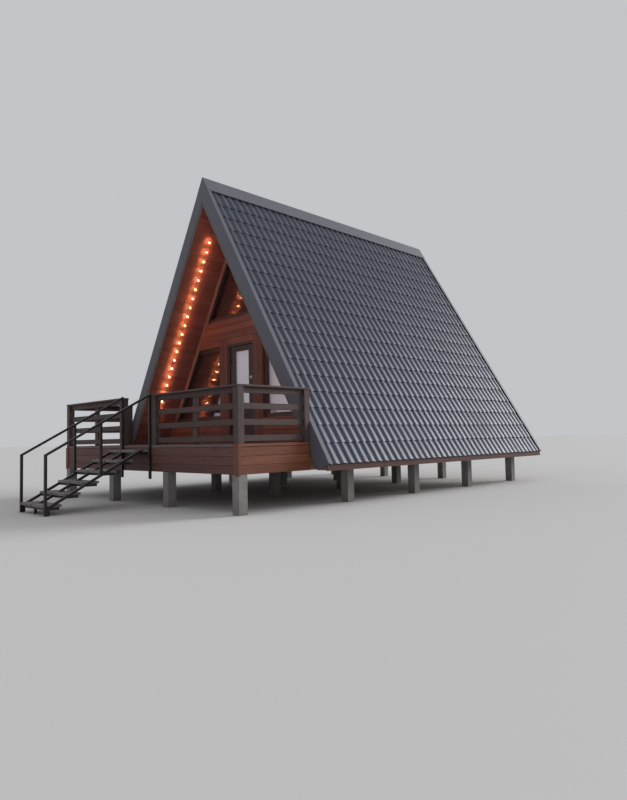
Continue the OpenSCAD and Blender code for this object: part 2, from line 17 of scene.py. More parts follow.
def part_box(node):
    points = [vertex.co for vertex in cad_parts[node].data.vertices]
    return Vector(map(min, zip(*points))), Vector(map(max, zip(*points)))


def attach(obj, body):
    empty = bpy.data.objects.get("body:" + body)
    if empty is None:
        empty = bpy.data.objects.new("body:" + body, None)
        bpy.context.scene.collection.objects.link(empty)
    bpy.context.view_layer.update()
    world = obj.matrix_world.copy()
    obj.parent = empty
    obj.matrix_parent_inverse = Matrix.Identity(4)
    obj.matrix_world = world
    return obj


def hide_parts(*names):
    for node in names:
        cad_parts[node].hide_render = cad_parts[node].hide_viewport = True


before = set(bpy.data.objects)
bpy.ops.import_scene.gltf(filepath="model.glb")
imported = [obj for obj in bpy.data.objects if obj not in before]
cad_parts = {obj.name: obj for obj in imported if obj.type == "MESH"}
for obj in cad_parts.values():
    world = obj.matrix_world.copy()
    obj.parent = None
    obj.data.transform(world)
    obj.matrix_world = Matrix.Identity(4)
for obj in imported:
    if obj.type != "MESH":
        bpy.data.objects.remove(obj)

LOG = logging.getLogger("cabin")
Array = np.ndarray
Piece = bpy.types.Object
Colour = tuple[float, float, float]
Triple = tuple[float, float, float]
Scale = float | Triple
Settings = Mapping[str, Any]
X, Y, Z = range(3)

# Sockets of a Mix node that mixes colours.
MIX_FACTOR, MIX_FIRST, MIX_SECOND, MIX_RESULT = 0, 6, 7, 2

# Turned shapes are smooth where their faces meet at less than this angle.
SMOOTH_TURNED = 0.7

# Half of the angle between the two slopes.
APEX_HALF = math.radians(30.6)
SINE, COSINE, TANGENT = math.sin(APEX_HALF), math.cos(APEX_HALF), math.tan(APEX_HALF)


class Named(Enum):
    """A choice whose members are spelt in lower case in the nodes' names."""

    @property
    def word(self) -> str:
        """The member's name as the nodes spell it."""
        return self.name.lower()


class Side(Named):
    """The two slopes of the roof, by the sign of X."""

    LEFT = -1
    RIGHT = 1


class End(Named):
    """The two gables, by the sign of Y that they look towards."""

    FRONT = -1
    BACK = 1


# Boxes of the CAD nodes


def box_of(node: str) -> tuple[Array, Array]:
    """A CAD node's lowest and highest corner."""
    low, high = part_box(node)
    return np.array(low, dtype=float), np.array(high, dtype=float)


def low_of(node: str, axis: int) -> float:
    """A CAD node's lowest place along an axis."""
    return float(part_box(node)[0][axis])


def high_of(node: str, axis: int) -> float:
    """A CAD node's highest place along an axis."""
    return float(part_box(node)[1][axis])


def middle_of(node: str, axis: int) -> float:
    """The middle of a CAD node's box along an axis."""
    return (low_of(node, axis) + high_of(node, axis)) / 2


# Meshes


def add_mesh(name: str, vertices: Array, faces: Iterable[Array], smooth_angle: float | None = None) -> Piece:
    """Makes an object at the origin from arrays of vertices and faces.

    Args:
        name: the piece's name.
        vertices: places in metres, with X, Y and Z as the last axis.
        faces: arrays of vertex numbers, each (m, k) for faces of k corners.
        smooth_angle: shades smoothly where faces meet at less than this angle, in radians.

    Returns:
        The new object, linked to the scene.
    """
    mesh = bpy.data.meshes.new(name)
    loops = [loop for part in faces for loop in part.tolist()]
    mesh.from_pydata(vertices.reshape(-1, 3).astype(np.float32).tolist(), [], loops)
    mesh.update()
    if smooth_angle is not None:
        mesh.polygons.foreach_set("use_smooth", np.ones(len(mesh.polygons), dtype=bool))
        mesh.set_sharp_from_angle(angle=smooth_angle)
    piece = bpy.data.objects.new(name, mesh)
    bpy.context.scene.collection.objects.link(piece)
    return piece


def number_parts(piece: Piece, per_part: int, seed: int) -> None:
    """Gives every board of a piece its own number between 0 and 1, in the point attribute 'board'.

    Args:
        piece: the object, whose vertices come board after board.
        per_part: vertices of one board.
        seed: starts the random numbers.
    """
    count = len(piece.data.vertices)
    numbers = np.random.default_rng(seed).random(count // per_part + 1)
    attribute = piece.data.attributes.new("board", "FLOAT", "POINT")
    attribute.data.foreach_set("value", np.repeat(numbers, per_part)[:count].astype(np.float32))


def grid_quads(rows: int, columns: int, close_columns: bool = False) -> Array:
    """Quads of a grid whose vertex (i, j) has the number i * columns + j.

    Args:
        rows: number of rows of vertices.
        columns: vertices in one row.
        close_columns: joins the last column to the first.

    Returns:
        (m, 4) vertex numbers.
    """
    spans = columns if close_columns else columns - 1
    i, j = np.meshgrid(np.arange(rows - 1), np.arange(spans), indexing="ij")
    after = (j + 1) % columns
    loop = [i * columns + j, i * columns + after, (i + 1) * columns + after, (i + 1) * columns + j]
    return np.stack(loop, axis=-1).reshape(-1, 4)


def capped_rings(rings: int, around: int) -> list[Array]:
    """Faces of a closed tube: quads from ring to ring, and a cap over the first and the last ring.

    Args:
        rings: number of rings of vertices.
        around: vertices in one ring.

    Returns:
        The quads and the caps.
    """
    first = np.arange(around)
    caps = np.stack([first[::-1], (rings - 1) * around + first])
    return [grid_quads(rings, around, close_columns=True), caps]


def for_copies(faces: list[Array], count: int, per_copy: int) -> list[Array]:
    """One copy's faces on all copies of a shape, whose vertices come copy after copy."""
    base = (np.arange(count) * per_copy)[:, None, None]
    return [(part[None] + base).reshape(-1, part.shape[1]) for part in faces]


def every_place(x: Any, y: Any, z: Any) -> Array:
    """All places with one of the given X, one of the Y and one of the Z, as (n, 3)."""
    return np.stack(np.meshgrid(x, y, z, indexing="ij"), axis=-1).reshape(-1, 3)


@dataclass(frozen=True)
class Plane:
    """A flat face that boards lie on: a and b run along it, and boards grow out along a x b."""

    origin: Triple
    a: Triple
    b: Triple

    def place(self, a: Array, b: Array, out: Array) -> Array:
        """Places of points at a and b along the plane and out from it.

        Args:
            a: distances along a.
            b: distances along b.
            out: distances from the plane.

        Returns:
            The points, with X, Y and Z as the last axis.
        """
        moved = a[..., None] * np.array(self.a) + b[..., None] * np.array(self.b)
        return np.array(self.origin) + moved + out[..., None] * np.cross(self.a, self.b)


def level_plane(z: float) -> Plane:
    """The level plane that boards grow up from."""
    return Plane((0, 0, z), (1, 0, 0), (0, 1, 0))


def upright_plane(y: float, end: End) -> Plane:
    """The upright plane that boards grow out of, towards one end of the cabin."""
    return Plane((0, y, 0), (-end.value, 0, 0), (0, 0, 1))


def inset_corners(corners: Array, distance: float) -> Array:
    """Outlines moved inwards, with every corner on its mitre.

    A corner moves by the distance times the sum of its two edges' unit normals, divided by one
    plus the product of the two.

    Args:
        corners: (n, k, 2) counter-clockwise outlines.
        distance: how far each edge moves.

    Returns:
        (n, k, 2) inner outlines.
    """
    edges = np.roll(corners, -1, axis=1) - corners
    edges = edges / np.maximum(np.linalg.norm(edges, axis=2, keepdims=True), 1e-9)
    after = np.stack([-edges[..., 1], edges[..., 0]], axis=-1)
    before = np.roll(after, 1, axis=1)
    return corners + distance * (before + after) / (1 + np.sum(before * after, axis=2, keepdims=True))


def lay_boards(name: str, plane: Plane, corners: Array, depth: float, bevel: float, seed: int) -> Piece:
    """Boards on a plane: each outline rises straight to its bevel, then slopes in at 45 degrees to its face.

    Args:
        name: the piece's name.
        plane: where the boards lie.
        corners: (n, 4, 2) counter-clockwise outlines on the plane.
        depth: thickness of the boards.
        bevel: width of the bevel round each face.
        seed: starts the boards' numbers.

    Returns:
        The piece.
    """
    rings = np.stack([corners, corners, inset_corners(corners, bevel)], axis=1)
    count, levels, around = rings.shape[:3]
    heights = np.broadcast_to(np.array([0.0, depth - bevel, depth])[None, :, None], rings.shape[:3])
    vertices = plane.place(rings[..., 0], rings[..., 1], heights)
    piece = add_mesh(name, vertices, for_copies(capped_rings(levels, around), count, levels * around))
    number_parts(piece, levels * around, seed)
    return piece


def strips(start: float, end: float, width: float, gap: float) -> Array:
    """Edges of equal boards side by side, as near to the asked width as fits.

    Args:
        start: first edge.
        end: last edge.
        width: about how wide a board is.
        gap: space between two boards.

    Returns:
        (n, 2) lower and upper edges.
    """
    count = max(1, round((end - start + gap) / (width + gap)))
    pitch = (end - start + gap) / count
    low = start + np.arange(count) * pitch
    return np.stack([low, low + pitch - gap], axis=1)


def rectangles(across: Array, along: Array) -> Array:
    """Counter-clockwise outlines, (n, 4, 2), from (n, 2) edges on the plane's a and on its b."""
    across, along = np.broadcast_arrays(across, along)
    return np.stack([across[:, [0, 1, 1, 0]], along[:, [0, 0, 1, 1]]], axis=-1)


def frame_bars(outline: Array, width: float) -> Array:
    """A mitred frame just inside a (k, 2) outline, as a four-cornered outline for each of its bars."""
    inner = inset_corners(outline[None], width)[0]
    return np.stack([outline, np.roll(outline, -1, axis=0), np.roll(inner, -1, axis=0), inner], axis=1)


def chamfered_box() -> tuple[Array, Array, list[Array]]:
    """One box with chamfered edges: every corner is three points, one on each of its faces.

    A face is the points that reach furthest along one of the 26 directions with steps of -1, 0 and
    1, in their order round that direction.

    Returns:
        The signs of the 24 points' corners, the axis of each point's own face, and the faces.
    """
    signs = np.repeat(every_place([-1, 1], [-1, 1], [-1, 1]), 3, axis=0)
    own = np.tile(np.arange(3), 8)[:, None]
    points = signs * np.where(np.arange(3) == own, 1.0, 0.8)
    faces: dict[int, list[Array]] = {3: [], 4: []}
    for way in every_place([-1, 0, 1], [-1, 0, 1], [-1, 0, 1]):
        if way.any():
            reach = points @ way
            found = np.flatnonzero(np.isclose(reach, reach.max()))
            arms = points[found] - points[found].mean(axis=0)
            turn = np.arctan2(arms @ np.cross(way, arms[0]), arms @ arms[0])
            faces[len(found)].append(found[np.argsort(turn)])
    return signs, own, [np.array(part) for part in faces.values()]


CHAMFERED_BOX = chamfered_box()


def timber_boxes(name: str, boxes: Any, chamfer: float, seed: int) -> Piece:
    """Boxes with chamfered edges.

    A point stands on its own face's plane, and is moved in by the chamfer along its two other axes.

    Args:
        name: the piece's name.
        boxes: (n, 2, 3) lowest and highest corners.
        chamfer: width of the chamfer.
        seed: starts the boxes' numbers.

    Returns:
        The piece.
    """
    signs, own, faces = CHAMFERED_BOX
    low, high = np.array(boxes, dtype=float).transpose(1, 0, 2)
    drawn_in = np.where(np.arange(3) == own, 0.0, chamfer)
    vertices = ((low + high) / 2)[:, None] + signs * (((high - low) / 2)[:, None] - drawn_in)
    piece = add_mesh(name, vertices, for_copies(faces, len(low), len(signs)))
    number_parts(piece, len(signs), seed)
    return piece


def turned(name: str, profile: Array, segments: int, places: Array, frames: Array) -> Piece:
    """Copies of a turned shape: the profile's radius and height swept round its axis, closed at both poles.

    Args:
        name: the piece's name.
        profile: (k, 2) radius and height from one pole to the other, upwards.
        segments: points round the axis.
        places: (n, 3) where each copy's axis starts.
        frames: (n, 3, 3) rows are the copy's two cross axes and its own axis; one may serve all.

    Returns:
        The piece, smooth except at edges over 40 degrees.
    """
    angle = np.arange(segments) * 2 * np.pi / segments
    radius, height = profile[:, :1], profile[:, 1:]
    shape = np.stack([radius * np.cos(angle), radius * np.sin(angle), height + 0 * angle], axis=-1)
    vertices = places[:, None] + np.einsum("pk,nkx->npx", shape.reshape(-1, 3), frames)
    faces = for_copies(capped_rings(len(profile), segments), len(places), len(profile) * segments)
    return add_mesh(name, vertices, faces, SMOOTH_TURNED)


# Finishes


class Value:
    """A number in a shader tree: arithmetic on it adds Math nodes."""

    def __init__(self, shader: "Shader", socket: bpy.types.NodeSocket) -> None:
        """Wraps an output socket of one shader."""
        self.shader = shader
        self.socket = socket

    def _math(self, operation: str, first: Any, second: Any) -> "Value":
        """One Math node on two numbers or Values."""
        return self.shader.node("ShaderNodeMath", {"operation": operation}, {0: first, 1: second})

    def __add__(self, other: Any) -> "Value":
        """self + other."""
        return self._math("ADD", self, other)

    __radd__ = __add__

    def __sub__(self, other: Any) -> "Value":
        """self - other."""
        return self._math("SUBTRACT", self, other)

    def __rsub__(self, other: Any) -> "Value":
        """other - self."""
        return self._math("SUBTRACT", other, self)

    def __mul__(self, other: Any) -> "Value":
        """self * other."""
        return self._math("MULTIPLY", self, other)

    __rmul__ = __mul__

    def __pow__(self, other: Any) -> "Value":
        """self to the power of other."""
        return self._math("POWER", self, other)

    def step(self, low: float, high: float) -> "Value":
        """Rises smoothly from 0 at low to 1 at high, or falls where low is the greater."""
        settings = {"interpolation_type": "SMOOTHSTEP"}
        inputs = {"Value": self, "From Min": min(low, high), "From Max": max(low, high)}
        risen = self.shader.node("ShaderNodeMapRange", settings, inputs)
        return 1 - risen if low > high else risen


class Shader:
    """One material's node tree round a Principled BSDF."""

    def __init__(self, name: str) -> None:
        """Makes an empty material of that name."""
        self.material = bpy.data.materials.new(name)
        self.material.use_nodes = True
        self.tree = self.material.node_tree
        self.surface = self.tree.nodes["Principled BSDF"]

    def join(self, value: Any, socket: bpy.types.NodeSocket) -> None:
        """Links a Value to an input, or writes a number, vector or colour into it.

        Args:
            value: what the input gets; a colour has three numbers.
            socket: the input.
        """
        if isinstance(value, Value):
            self.tree.links.new(value.socket, socket)
        else:
            socket.default_value = (*value, 1.0) if socket.type == "RGBA" else value

    def node(self, kind: str, settings: Settings, inputs: Mapping[Any, Any], output: Any = 0) -> Value:
        """Adds any node.

        Args:
            kind: the node's type.
            settings: the node's own properties, set first.
            inputs: numbers, colours or Values by socket name or number.
            output: name or number of the wanted output.

        Returns:
            That output.
        """
        made = self.tree.nodes.new(kind)
        for key, value in settings.items():
            setattr(made, key, value)
        for key, value in inputs.items():
            self.join(value, made.inputs[key])
        return Value(self, made.outputs[output])

    def place(self, scale: Scale = 1.0, shift: Value | None = None) -> Value:
        """Object coordinates, moved and scaled.

        Args:
            scale: stretches the pattern's space, alike or by its own number along each axis.
            shift: a vector that moves it first.

        Returns:
            The vector.
        """
        vector = self.node("ShaderNodeTexCoord", {}, {}, "Object")
        if shift is not None:
            vector = self.node("ShaderNodeVectorMath", {"operation": "ADD"}, {0: vector, 1: shift})
        stretch = scale if isinstance(scale, tuple) else (scale,) * 3
        return self.node("ShaderNodeMapping", {"vector_type": "POINT"}, {0: vector, "Scale": stretch})

    def noise(
        self, scale: Scale, detail: float, rough: float = 0.5, warp: float = 0.0, shift: Value | None = None
    ) -> Value:
        """Cloudy noise between 0 and 1.

        Args:
            scale: about how many clouds there are to a metre; see place.
            detail: how many finer noises lie on top.
            rough: how strong those are.
            warp: how much the clouds are twisted.
            shift: see place.

        Returns:
            The noise.
        """
        inputs = {
            "Vector": self.place(scale, shift), "Scale": 1.0,
            "Detail": detail, "Roughness": rough, "Distortion": warp,
        }
        return self.node("ShaderNodeTexNoise", {}, inputs)

    def cells(self, scale: Scale, shift: Value | None = None) -> Value:
        """Distance to the nearest of scattered points."""
        inputs = {"Vector": self.place(scale, shift), "Scale": 1.0}
        return self.node("ShaderNodeTexVoronoi", {}, inputs, "Distance")

    def attribute(self, name: str) -> Value:
        """A number that the mesh carries under that name, 0 where it has none."""
        return self.node("ShaderNodeAttribute", {"attribute_name": name}, {}, "Fac")

    def part(self, vector: Value, letter: str) -> Value:
        """A vector's X, Y or Z."""
        return self.node("ShaderNodeSeparateXYZ", {}, {0: vector}, letter)

    def axis(self, letter: str) -> Value:
        """Object coordinate X, Y or Z in metres."""
        return self.part(self.node("ShaderNodeTexCoord", {}, {}, "Object"), letter)

    def facing(self, letter: str) -> Value:
        """How far the surface looks along X, Y or Z, from -1 to 1."""
        return self.part(self.node("ShaderNodeNewGeometry", {}, {}, "Normal"), letter)

    def mix(self, factor: Any, first: Any, second: Any) -> Value:
        """Two colours mixed, with factor as the second one's share."""
        inputs = {MIX_FACTOR: factor, MIX_FIRST: first, MIX_SECOND: second}
        return self.node("ShaderNodeMix", {"data_type": "RGBA"}, inputs, MIX_RESULT)

    def feed(self, **values: Any) -> None:
        """Gives the surface's sockets Values or constants, with spaces in their names as underscores."""
        for key, value in values.items():
            self.join(value, self.surface.inputs[key.replace("_", " ")])

    def bump(self, height: Value, distance: float, strength: float) -> None:
        """Raises the surface by height times distance, in metres."""
        inputs = {"Height": height, "Distance": distance, "Strength": strength}
        self.feed(Normal=self.node("ShaderNodeBump", {}, inputs))


def times(colour: Colour, factor: float) -> Colour:
    """A colour with every part multiplied."""
    return tuple(part * factor for part in colour)


@dataclass(frozen=True)
class Finish:
    """A surface finish, made once as a material and shared by its pieces."""

    name: str
    slot: str
    made: ClassVar[dict[str, bpy.types.Material]] = {}

    def dress(self, shader: Shader) -> None:
        """Fills the shader; every finish has its own."""
        raise NotImplementedError

    def material(self) -> bpy.types.Material:
        """The finish's material, made on first use."""
        if self.name not in Finish.made:
            shader = Shader(self.name)
            self.dress(shader)
            Finish.made[self.name] = shader.material
        return Finish.made[self.name]

    def put_on(self, piece: Piece) -> None:
        """Gives the finish to every slot of a piece or CAD node."""
        if not piece.material_slots:
            piece.data.materials.append(self.material())
        for slot in piece.material_slots:
            slot.material = self.material()


@dataclass(frozen=True)
class StainedWood(Finish):
    """Stained boards: long grain, rings, knots, a tint for each board, and greyed weathering.

    The scales are clouds to a metre, first along the board and then across it.
    """

    light: Colour
    dark: Colour
    along: str
    rough: float = 0.62
    worn: float = 0.25
    grey: Colour = (0.2, 0.17, 0.15)
    ring_scale: tuple[float, float] = (1.6, 22.0)
    fibre_scale: tuple[float, float] = (6.0, 260.0)
    knot_scale: tuple[float, float] = (1.44, 3.52)
    patch_scale: float = 0.9
    board_shift: Triple = (37.0, 53.0, 71.0)
    board_tint: float = 0.45
    grain_h: float = 0.0012

    def stretch(self, scales: tuple[float, float]) -> Triple:
        """One scale along the board and the other across it, as X, Y and Z."""
        return tuple(scales[0] if letter == self.along else scales[1] for letter in "XYZ")

    def dress(self, shader: Shader) -> None:
        """Grain is noise stretched along one axis; each board's number shifts and tints it."""
        number = shader.attribute("board")
        moves = {axis: number * self.board_shift[axis] for axis in (X, Y, Z)}
        shift = shader.node("ShaderNodeCombineXYZ", {}, moves)
        rings = shader.noise(self.stretch(self.ring_scale), detail=4.0, rough=0.55, warp=1.6, shift=shift)
        fibres = shader.noise(self.stretch(self.fibre_scale), detail=2.0, rough=0.6, shift=shift)
        knots = shader.cells(self.stretch(self.knot_scale), shift).step(0.11, 0.03)
        patches = shader.noise(self.patch_scale, detail=3.0, rough=0.6)
        weathered = patches.step(0.45, 0.75) * fibres.step(0.35, 0.7) * self.worn
        colour = shader.mix(rings.step(0.32, 0.68) * 0.6 + fibres * 0.4, self.dark, self.light)
        colour = shader.mix(number * self.board_tint, colour, times(self.dark, 0.55))
        colour = shader.mix(weathered, colour, self.grey)
        colour = shader.mix(knots * 0.7, colour, times(self.dark, 0.35))
        roughness = fibres * 0.16 + (self.rough - 0.08)
        shader.feed(Base_Color=colour, Roughness=roughness, Specular_IOR_Level=0.35)
        shader.bump(fibres * 0.6 + rings * 0.4, distance=self.grain_h, strength=0.6)


@dataclass(frozen=True)
class CoatedMetal(Finish):
    """Coated sheet metal: an even coat, faint streaks down the slope, dust in patches."""

    coat: Colour
    dust: Colour
    rough: float
    metallic: float
    gloss: float = 0.4
    streak_scale: Triple = (0.7, 14.0, 0.7)
    patch_scale: float = 1.1
    grain_scale: float = 420.0
    grain_h: float = 0.0003

    def dress(self, shader: Shader) -> None:
        """Streaks are noise that changes fast along Y and slowly in X and Z."""
        streaks = shader.noise(self.streak_scale, detail=4.0, rough=0.6)
        patches = shader.noise(self.patch_scale, detail=4.0, rough=0.6)
        grains = shader.noise(self.grain_scale, detail=1.0)
        dusty = streaks.step(0.45, 0.8) * 0.5 + patches.step(0.48, 0.8) * 0.5
        colour = shader.mix(dusty * 0.55, self.coat, self.dust)
        colour = shader.mix(grains.step(0.55, 0.7) * 0.2, colour, times(self.coat, 1.5))
        shader.feed(Base_Color=colour, Roughness=dusty * 0.22 + self.rough)
        shader.feed(Metallic=self.metallic, Specular_IOR_Level=self.gloss)
        shader.bump(grains, distance=self.grain_h, strength=0.5)


@dataclass(frozen=True)
class CastConcrete(Finish):
    """Cast concrete: cement clouds, small pores, darker damp at the foot."""

    pale: Colour = (0.26, 0.253, 0.242)
    damp: Colour = (0.16, 0.15, 0.13)
    pore: Colour = (0.08, 0.075, 0.07)
    cloud_scale: float = 5.0
    sand_scale: float = 180.0
    pore_scale: float = 60.0
    damp_top: float = 0.34
    damp_foot: float = 0.1
    grain_h: float = 0.0015

    def dress(self, shader: Shader) -> None:
        """The damp fades out over the lowest quarter metre, with a ragged edge."""
        clouds = shader.noise(self.cloud_scale, detail=5.0, rough=0.65)
        sand = shader.noise(self.sand_scale, detail=2.0)
        pores = shader.cells(self.pore_scale).step(0.16, 0.08)
        wet = (shader.axis("Z") + clouds * 0.2).step(self.damp_top, self.damp_foot)
        colour = shader.mix(clouds.step(0.3, 0.7), times(self.pale, 0.72), self.pale)
        colour = shader.mix(sand * 0.25, colour, self.damp)
        colour = shader.mix(wet * 0.7, colour, self.damp)
        colour = shader.mix(pores * 0.6, colour, self.pore)
        shader.feed(Base_Color=colour, Roughness=0.9 - wet * 0.2)
        shader.bump(sand * 0.5 - pores, distance=self.grain_h, strength=0.7)


@dataclass(frozen=True)
class WindowGlass(Finish):
    """Clear double glazing: a thin mirror that covers more at a flat angle, and is otherwise clear."""

    mirror: Colour = (0.9, 0.91, 0.93)
    straight: float = 0.04
    panes: float = 3.4
    smear_scale: Triple = (2.0, 2.0, 5.0)

    def dress(self, shader: Shader) -> None:
        """The cover is Schlick's share of mirrored light; smears change only the roughness."""
        smears = shader.noise(self.smear_scale, detail=3.0)
        slant = shader.node("ShaderNodeLayerWeight", {}, {"Blend": 0.5}, "Facing")
        share = slant ** 5 * (1 - self.straight) + self.straight
        shader.feed(Roughness=smears * 0.02 + 0.01, Alpha=share * self.panes)
        shader.feed(Base_Color=self.mirror, Metallic=1.0)


@dataclass(frozen=True)
class WovenCloth(Finish):
    """Plain woven curtain cloth: fine crossed threads, a soft sheen, and a faint painted glow that stands in
    for light.
    """

    thread: Colour = (0.66, 0.57, 0.61)
    shade: Colour = (0.55, 0.46, 0.5)
    painted_glow: float = 0.16
    thread_scale: float = 190.0
    slub_scale: Triple = (9.0, 9.0, 90.0)
    weave_h: float = 0.0006

    def threads(self, shader: Shader, letter: str) -> Value:
        """Waves that run on along X or Z, one for each thread."""
        inputs = {"Vector": shader.place(), "Scale": self.thread_scale}
        return shader.node("ShaderNodeTexWave", {"bands_direction": letter}, inputs, "Fac")

    def dress(self, shader: Shader) -> None:
        """Threads are two crossed wave patterns along the cloth's own width and height."""
        slubs = shader.noise(self.slub_scale, detail=3.0)
        weave = (self.threads(shader, "X") + self.threads(shader, "Z")) * 0.5
        colour = shader.mix(weave * 0.5 + slubs * 0.5, self.shade, self.thread)
        # Painted glow: the cloth emits its own colour faintly, standing in for light that falls on it.
        shader.feed(Base_Color=colour, Emission_Color=colour, Emission_Strength=self.painted_glow)
        shader.feed(Roughness=0.9, Sheen_Weight=0.25, Specular_IOR_Level=0.2)
        shader.bump(weave * 0.6 + slubs * 0.4, distance=self.weave_h, strength=0.5)


@dataclass(frozen=True)
class PaintedSteel(Finish):
    """Painted or brushed steel with fine wear, and dust with a painted highlight on upward faces."""

    paint: Colour = (0.016, 0.014, 0.015)
    bare: Colour = (0.07, 0.05, 0.042)
    rough: float = 0.4
    metallic: float = 0.3
    # dust and dusty: colour and share of upward faces, standing for dust and for a painted highlight of
    # light from above.
    dust: Colour = (0.19, 0.175, 0.17)
    dusty: float = 0.6
    patch_scale: float = 6.0
    scuff_scale: float = 70.0
    scuff_h: float = 0.0004

    def dress(self, shader: Shader) -> None:
        """Wear shows where two noises are both high; upward faces take the dust colour, as dust and painted
        highlight.
        """
        patches = shader.noise(self.patch_scale, detail=4.0)
        scuffs = shader.noise(self.scuff_scale, detail=3.0)
        wear = patches.step(0.5, 0.7) * scuffs.step(0.5, 0.65)
        # Painted highlight and dust: faces that look upwards take the dust colour.
        upward_dust_and_sheen = shader.facing("Z").step(0.45, 0.85) * self.dusty
        colour = shader.mix(upward_dust_and_sheen, shader.mix(wear * 0.7, self.paint, self.bare), self.dust)
        roughness = upward_dust_and_sheen * 0.3 + (wear * 0.25 + self.rough)
        shader.feed(Base_Color=colour, Roughness=roughness, Metallic=self.metallic)
        shader.bump(scuffs, distance=self.scuff_h, strength=0.4)


@dataclass(frozen=True)
class LitBulb(Finish):
    """A lit bulb: its light falls on the boards behind it, and the half seen from below glows softly."""

    warm: Colour = (1.0, 0.38, 0.13)
    hot: Colour = (1.0, 0.53, 0.25)
    soft: Colour = (0.02, 0.0067, 0.0035)
    glass: Colour = (1.0, 0.8, 0.6)
    strength: float = 125.0
    drift_scale: float = 30.0
    ridge_half: float = 0.05

    def dress(self, shader: Shader) -> None:
        """Full light on faces that look outwards to their own slope; its colour drifts with a soft noise."""
        drift = shader.noise(self.drift_scale, detail=1.0)
        side = shader.axis("X").step(-self.ridge_half, self.ridge_half) * 2 - 1
        outward = shader.facing("X") * side * COSINE + shader.facing("Z") * SINE
        full = shader.mix(drift.step(0.35, 0.65), self.warm, self.hot)
        shader.feed(Emission_Color=shader.mix(outward.step(0.0, 0.6), self.soft, full))
        shader.feed(Base_Color=self.glass, Emission_Strength=self.strength, Roughness=0.25)


@dataclass(frozen=True)
class DarkRubber(Finish):
    """Dark rubber and moulded plastic of the cable and its sockets."""

    tone: Colour = (0.03, 0.024, 0.02)
    grain_scale: float = 500.0
    grain_h: float = 0.0002

    def dress(self, shader: Shader) -> None:
        """A matt skin with fine mould grain."""
        grain = shader.noise(self.grain_scale, detail=2.0)
        shader.feed(Base_Color=shader.mix(grain * 0.5, self.tone, times(self.tone, 1.6)), Roughness=0.6)
        shader.bump(grain, distance=self.grain_h, strength=0.5)


RED_X = StainedWood("red_stain_across", "wall_wood", (0.335, 0.102, 0.068), (0.185, 0.051, 0.032), "X")
# The lining's stain is paler and bluer than the walls': partly its own lighter tone, partly a painted
# reflection of the sky in the varnish.
RED_Y = StainedWood(
    "red_stain_lengthwise", "wall_wood", (0.32, 0.118, 0.105), (0.19, 0.065, 0.056), "Y", worn=0.08
)
RED_Z = StainedWood("red_stain_upright", "wall_wood", (0.23, 0.075, 0.056), (0.125, 0.037, 0.026), "Z")
BARGE = StainedWood("barge_stain", "wall_wood", (0.17, 0.13, 0.12), (0.1, 0.07, 0.065), "Z", worn=0.3)
CASING = StainedWood(
    "casing_stain", "casing_wood", (0.21, 0.102, 0.098), (0.124, 0.058, 0.055), "Z", worn=0.15
)
FRAME = StainedWood(
    "frame_stain", "frame_wood", (0.1, 0.055, 0.051), (0.051, 0.026, 0.024), "Z", rough=0.45, worn=0.03
)
FRAME_X = replace(FRAME, name="frame_stain_across", along="X")
PORCH_X = StainedWood(
    "porch_stain_across", "porch_wood", (0.105, 0.062, 0.056), (0.055, 0.032, 0.029), "X", worn=0.3
)
PORCH_Y = StainedWood(
    "porch_stain_lengthwise", "porch_wood", (0.105, 0.065, 0.06), (0.057, 0.034, 0.031), "Y", worn=0.35
)
PORCH_Z = StainedWood(
    "porch_stain_upright", "porch_wood", (0.106, 0.068, 0.066), (0.057, 0.036, 0.034), "Z", worn=0.3
)
# The deck's front edge board is pale: partly weathered grey, partly a painted highlight along the edge.
EDGE_WORN_AND_LIT = StainedWood(
    "deck_edge_stain_and_highlight", "porch_wood", (0.22, 0.16, 0.15), (0.13, 0.09, 0.082), "X", worn=0.6
)
# Painted light and shade: the same fascia stain is lighter and more orange on the sides, as if lit by a low
# sun, and darker on the front, as if in shade.
FASCIA_X_SHADED = StainedWood(
    "fascia_stain_across_shaded", "fascia_wood", (0.155, 0.068, 0.06), (0.088, 0.036, 0.031), "X", worn=0.15
)
FASCIA_Y_LIT = StainedWood(
    "fascia_stain_lengthwise_lit", "fascia_wood", (0.26, 0.084, 0.041), (0.147, 0.043, 0.0205), "Y", worn=0.12
)
FASCIA_Z = StainedWood(
    "fascia_stain_upright", "fascia_wood", (0.19, 0.07, 0.045), (0.105, 0.037, 0.024), "Z", worn=0.12
)
EAVE = StainedWood(
    "eave_stain", "fascia_wood", (0.104, 0.035, 0.026), (0.06, 0.02, 0.015), "Y", worn=0.06
)
TREAD = StainedWood(
    "tread_stain", "tread_wood", (0.25, 0.235, 0.23), (0.155, 0.138, 0.132), "X",
    worn=0.5, grey=(0.34, 0.33, 0.32),
)
SAWN = StainedWood("sawn_wood", "rough_wood", (0.3, 0.2, 0.13), (0.17, 0.11, 0.07), "Y", rough=0.75)
FLOOR = StainedWood(
    "floor_oil", "floor_wood", (0.34, 0.21, 0.12), (0.2, 0.12, 0.07), "Y", rough=0.5, worn=0.1
)
TILE_METAL = CoatedMetal(
    "tile_coat", "roof_metal", (0.046, 0.051, 0.078), (0.088, 0.09, 0.11), rough=0.4, metallic=0.2
)
TRIM_METAL = CoatedMetal(
    "trim_coat", "trim_metal", (0.113, 0.114, 0.14), (0.17, 0.171, 0.188),
    rough=0.55, metallic=0.0, gloss=0.3,
)
CONCRETE = CastConcrete("cast_concrete", "concrete")
GLASS = WindowGlass("window_glass", "window_glass")
CLOTH = WovenCloth("curtain_cloth", "curtain_cloth")
STEEL = PaintedSteel("dark_steel", "steel")
SATIN = PaintedSteel(
    "satin_steel", "handle_metal", (0.55, 0.55, 0.54), (0.3, 0.29, 0.28),
    rough=0.3, metallic=0.9, dusty=0.1,
)
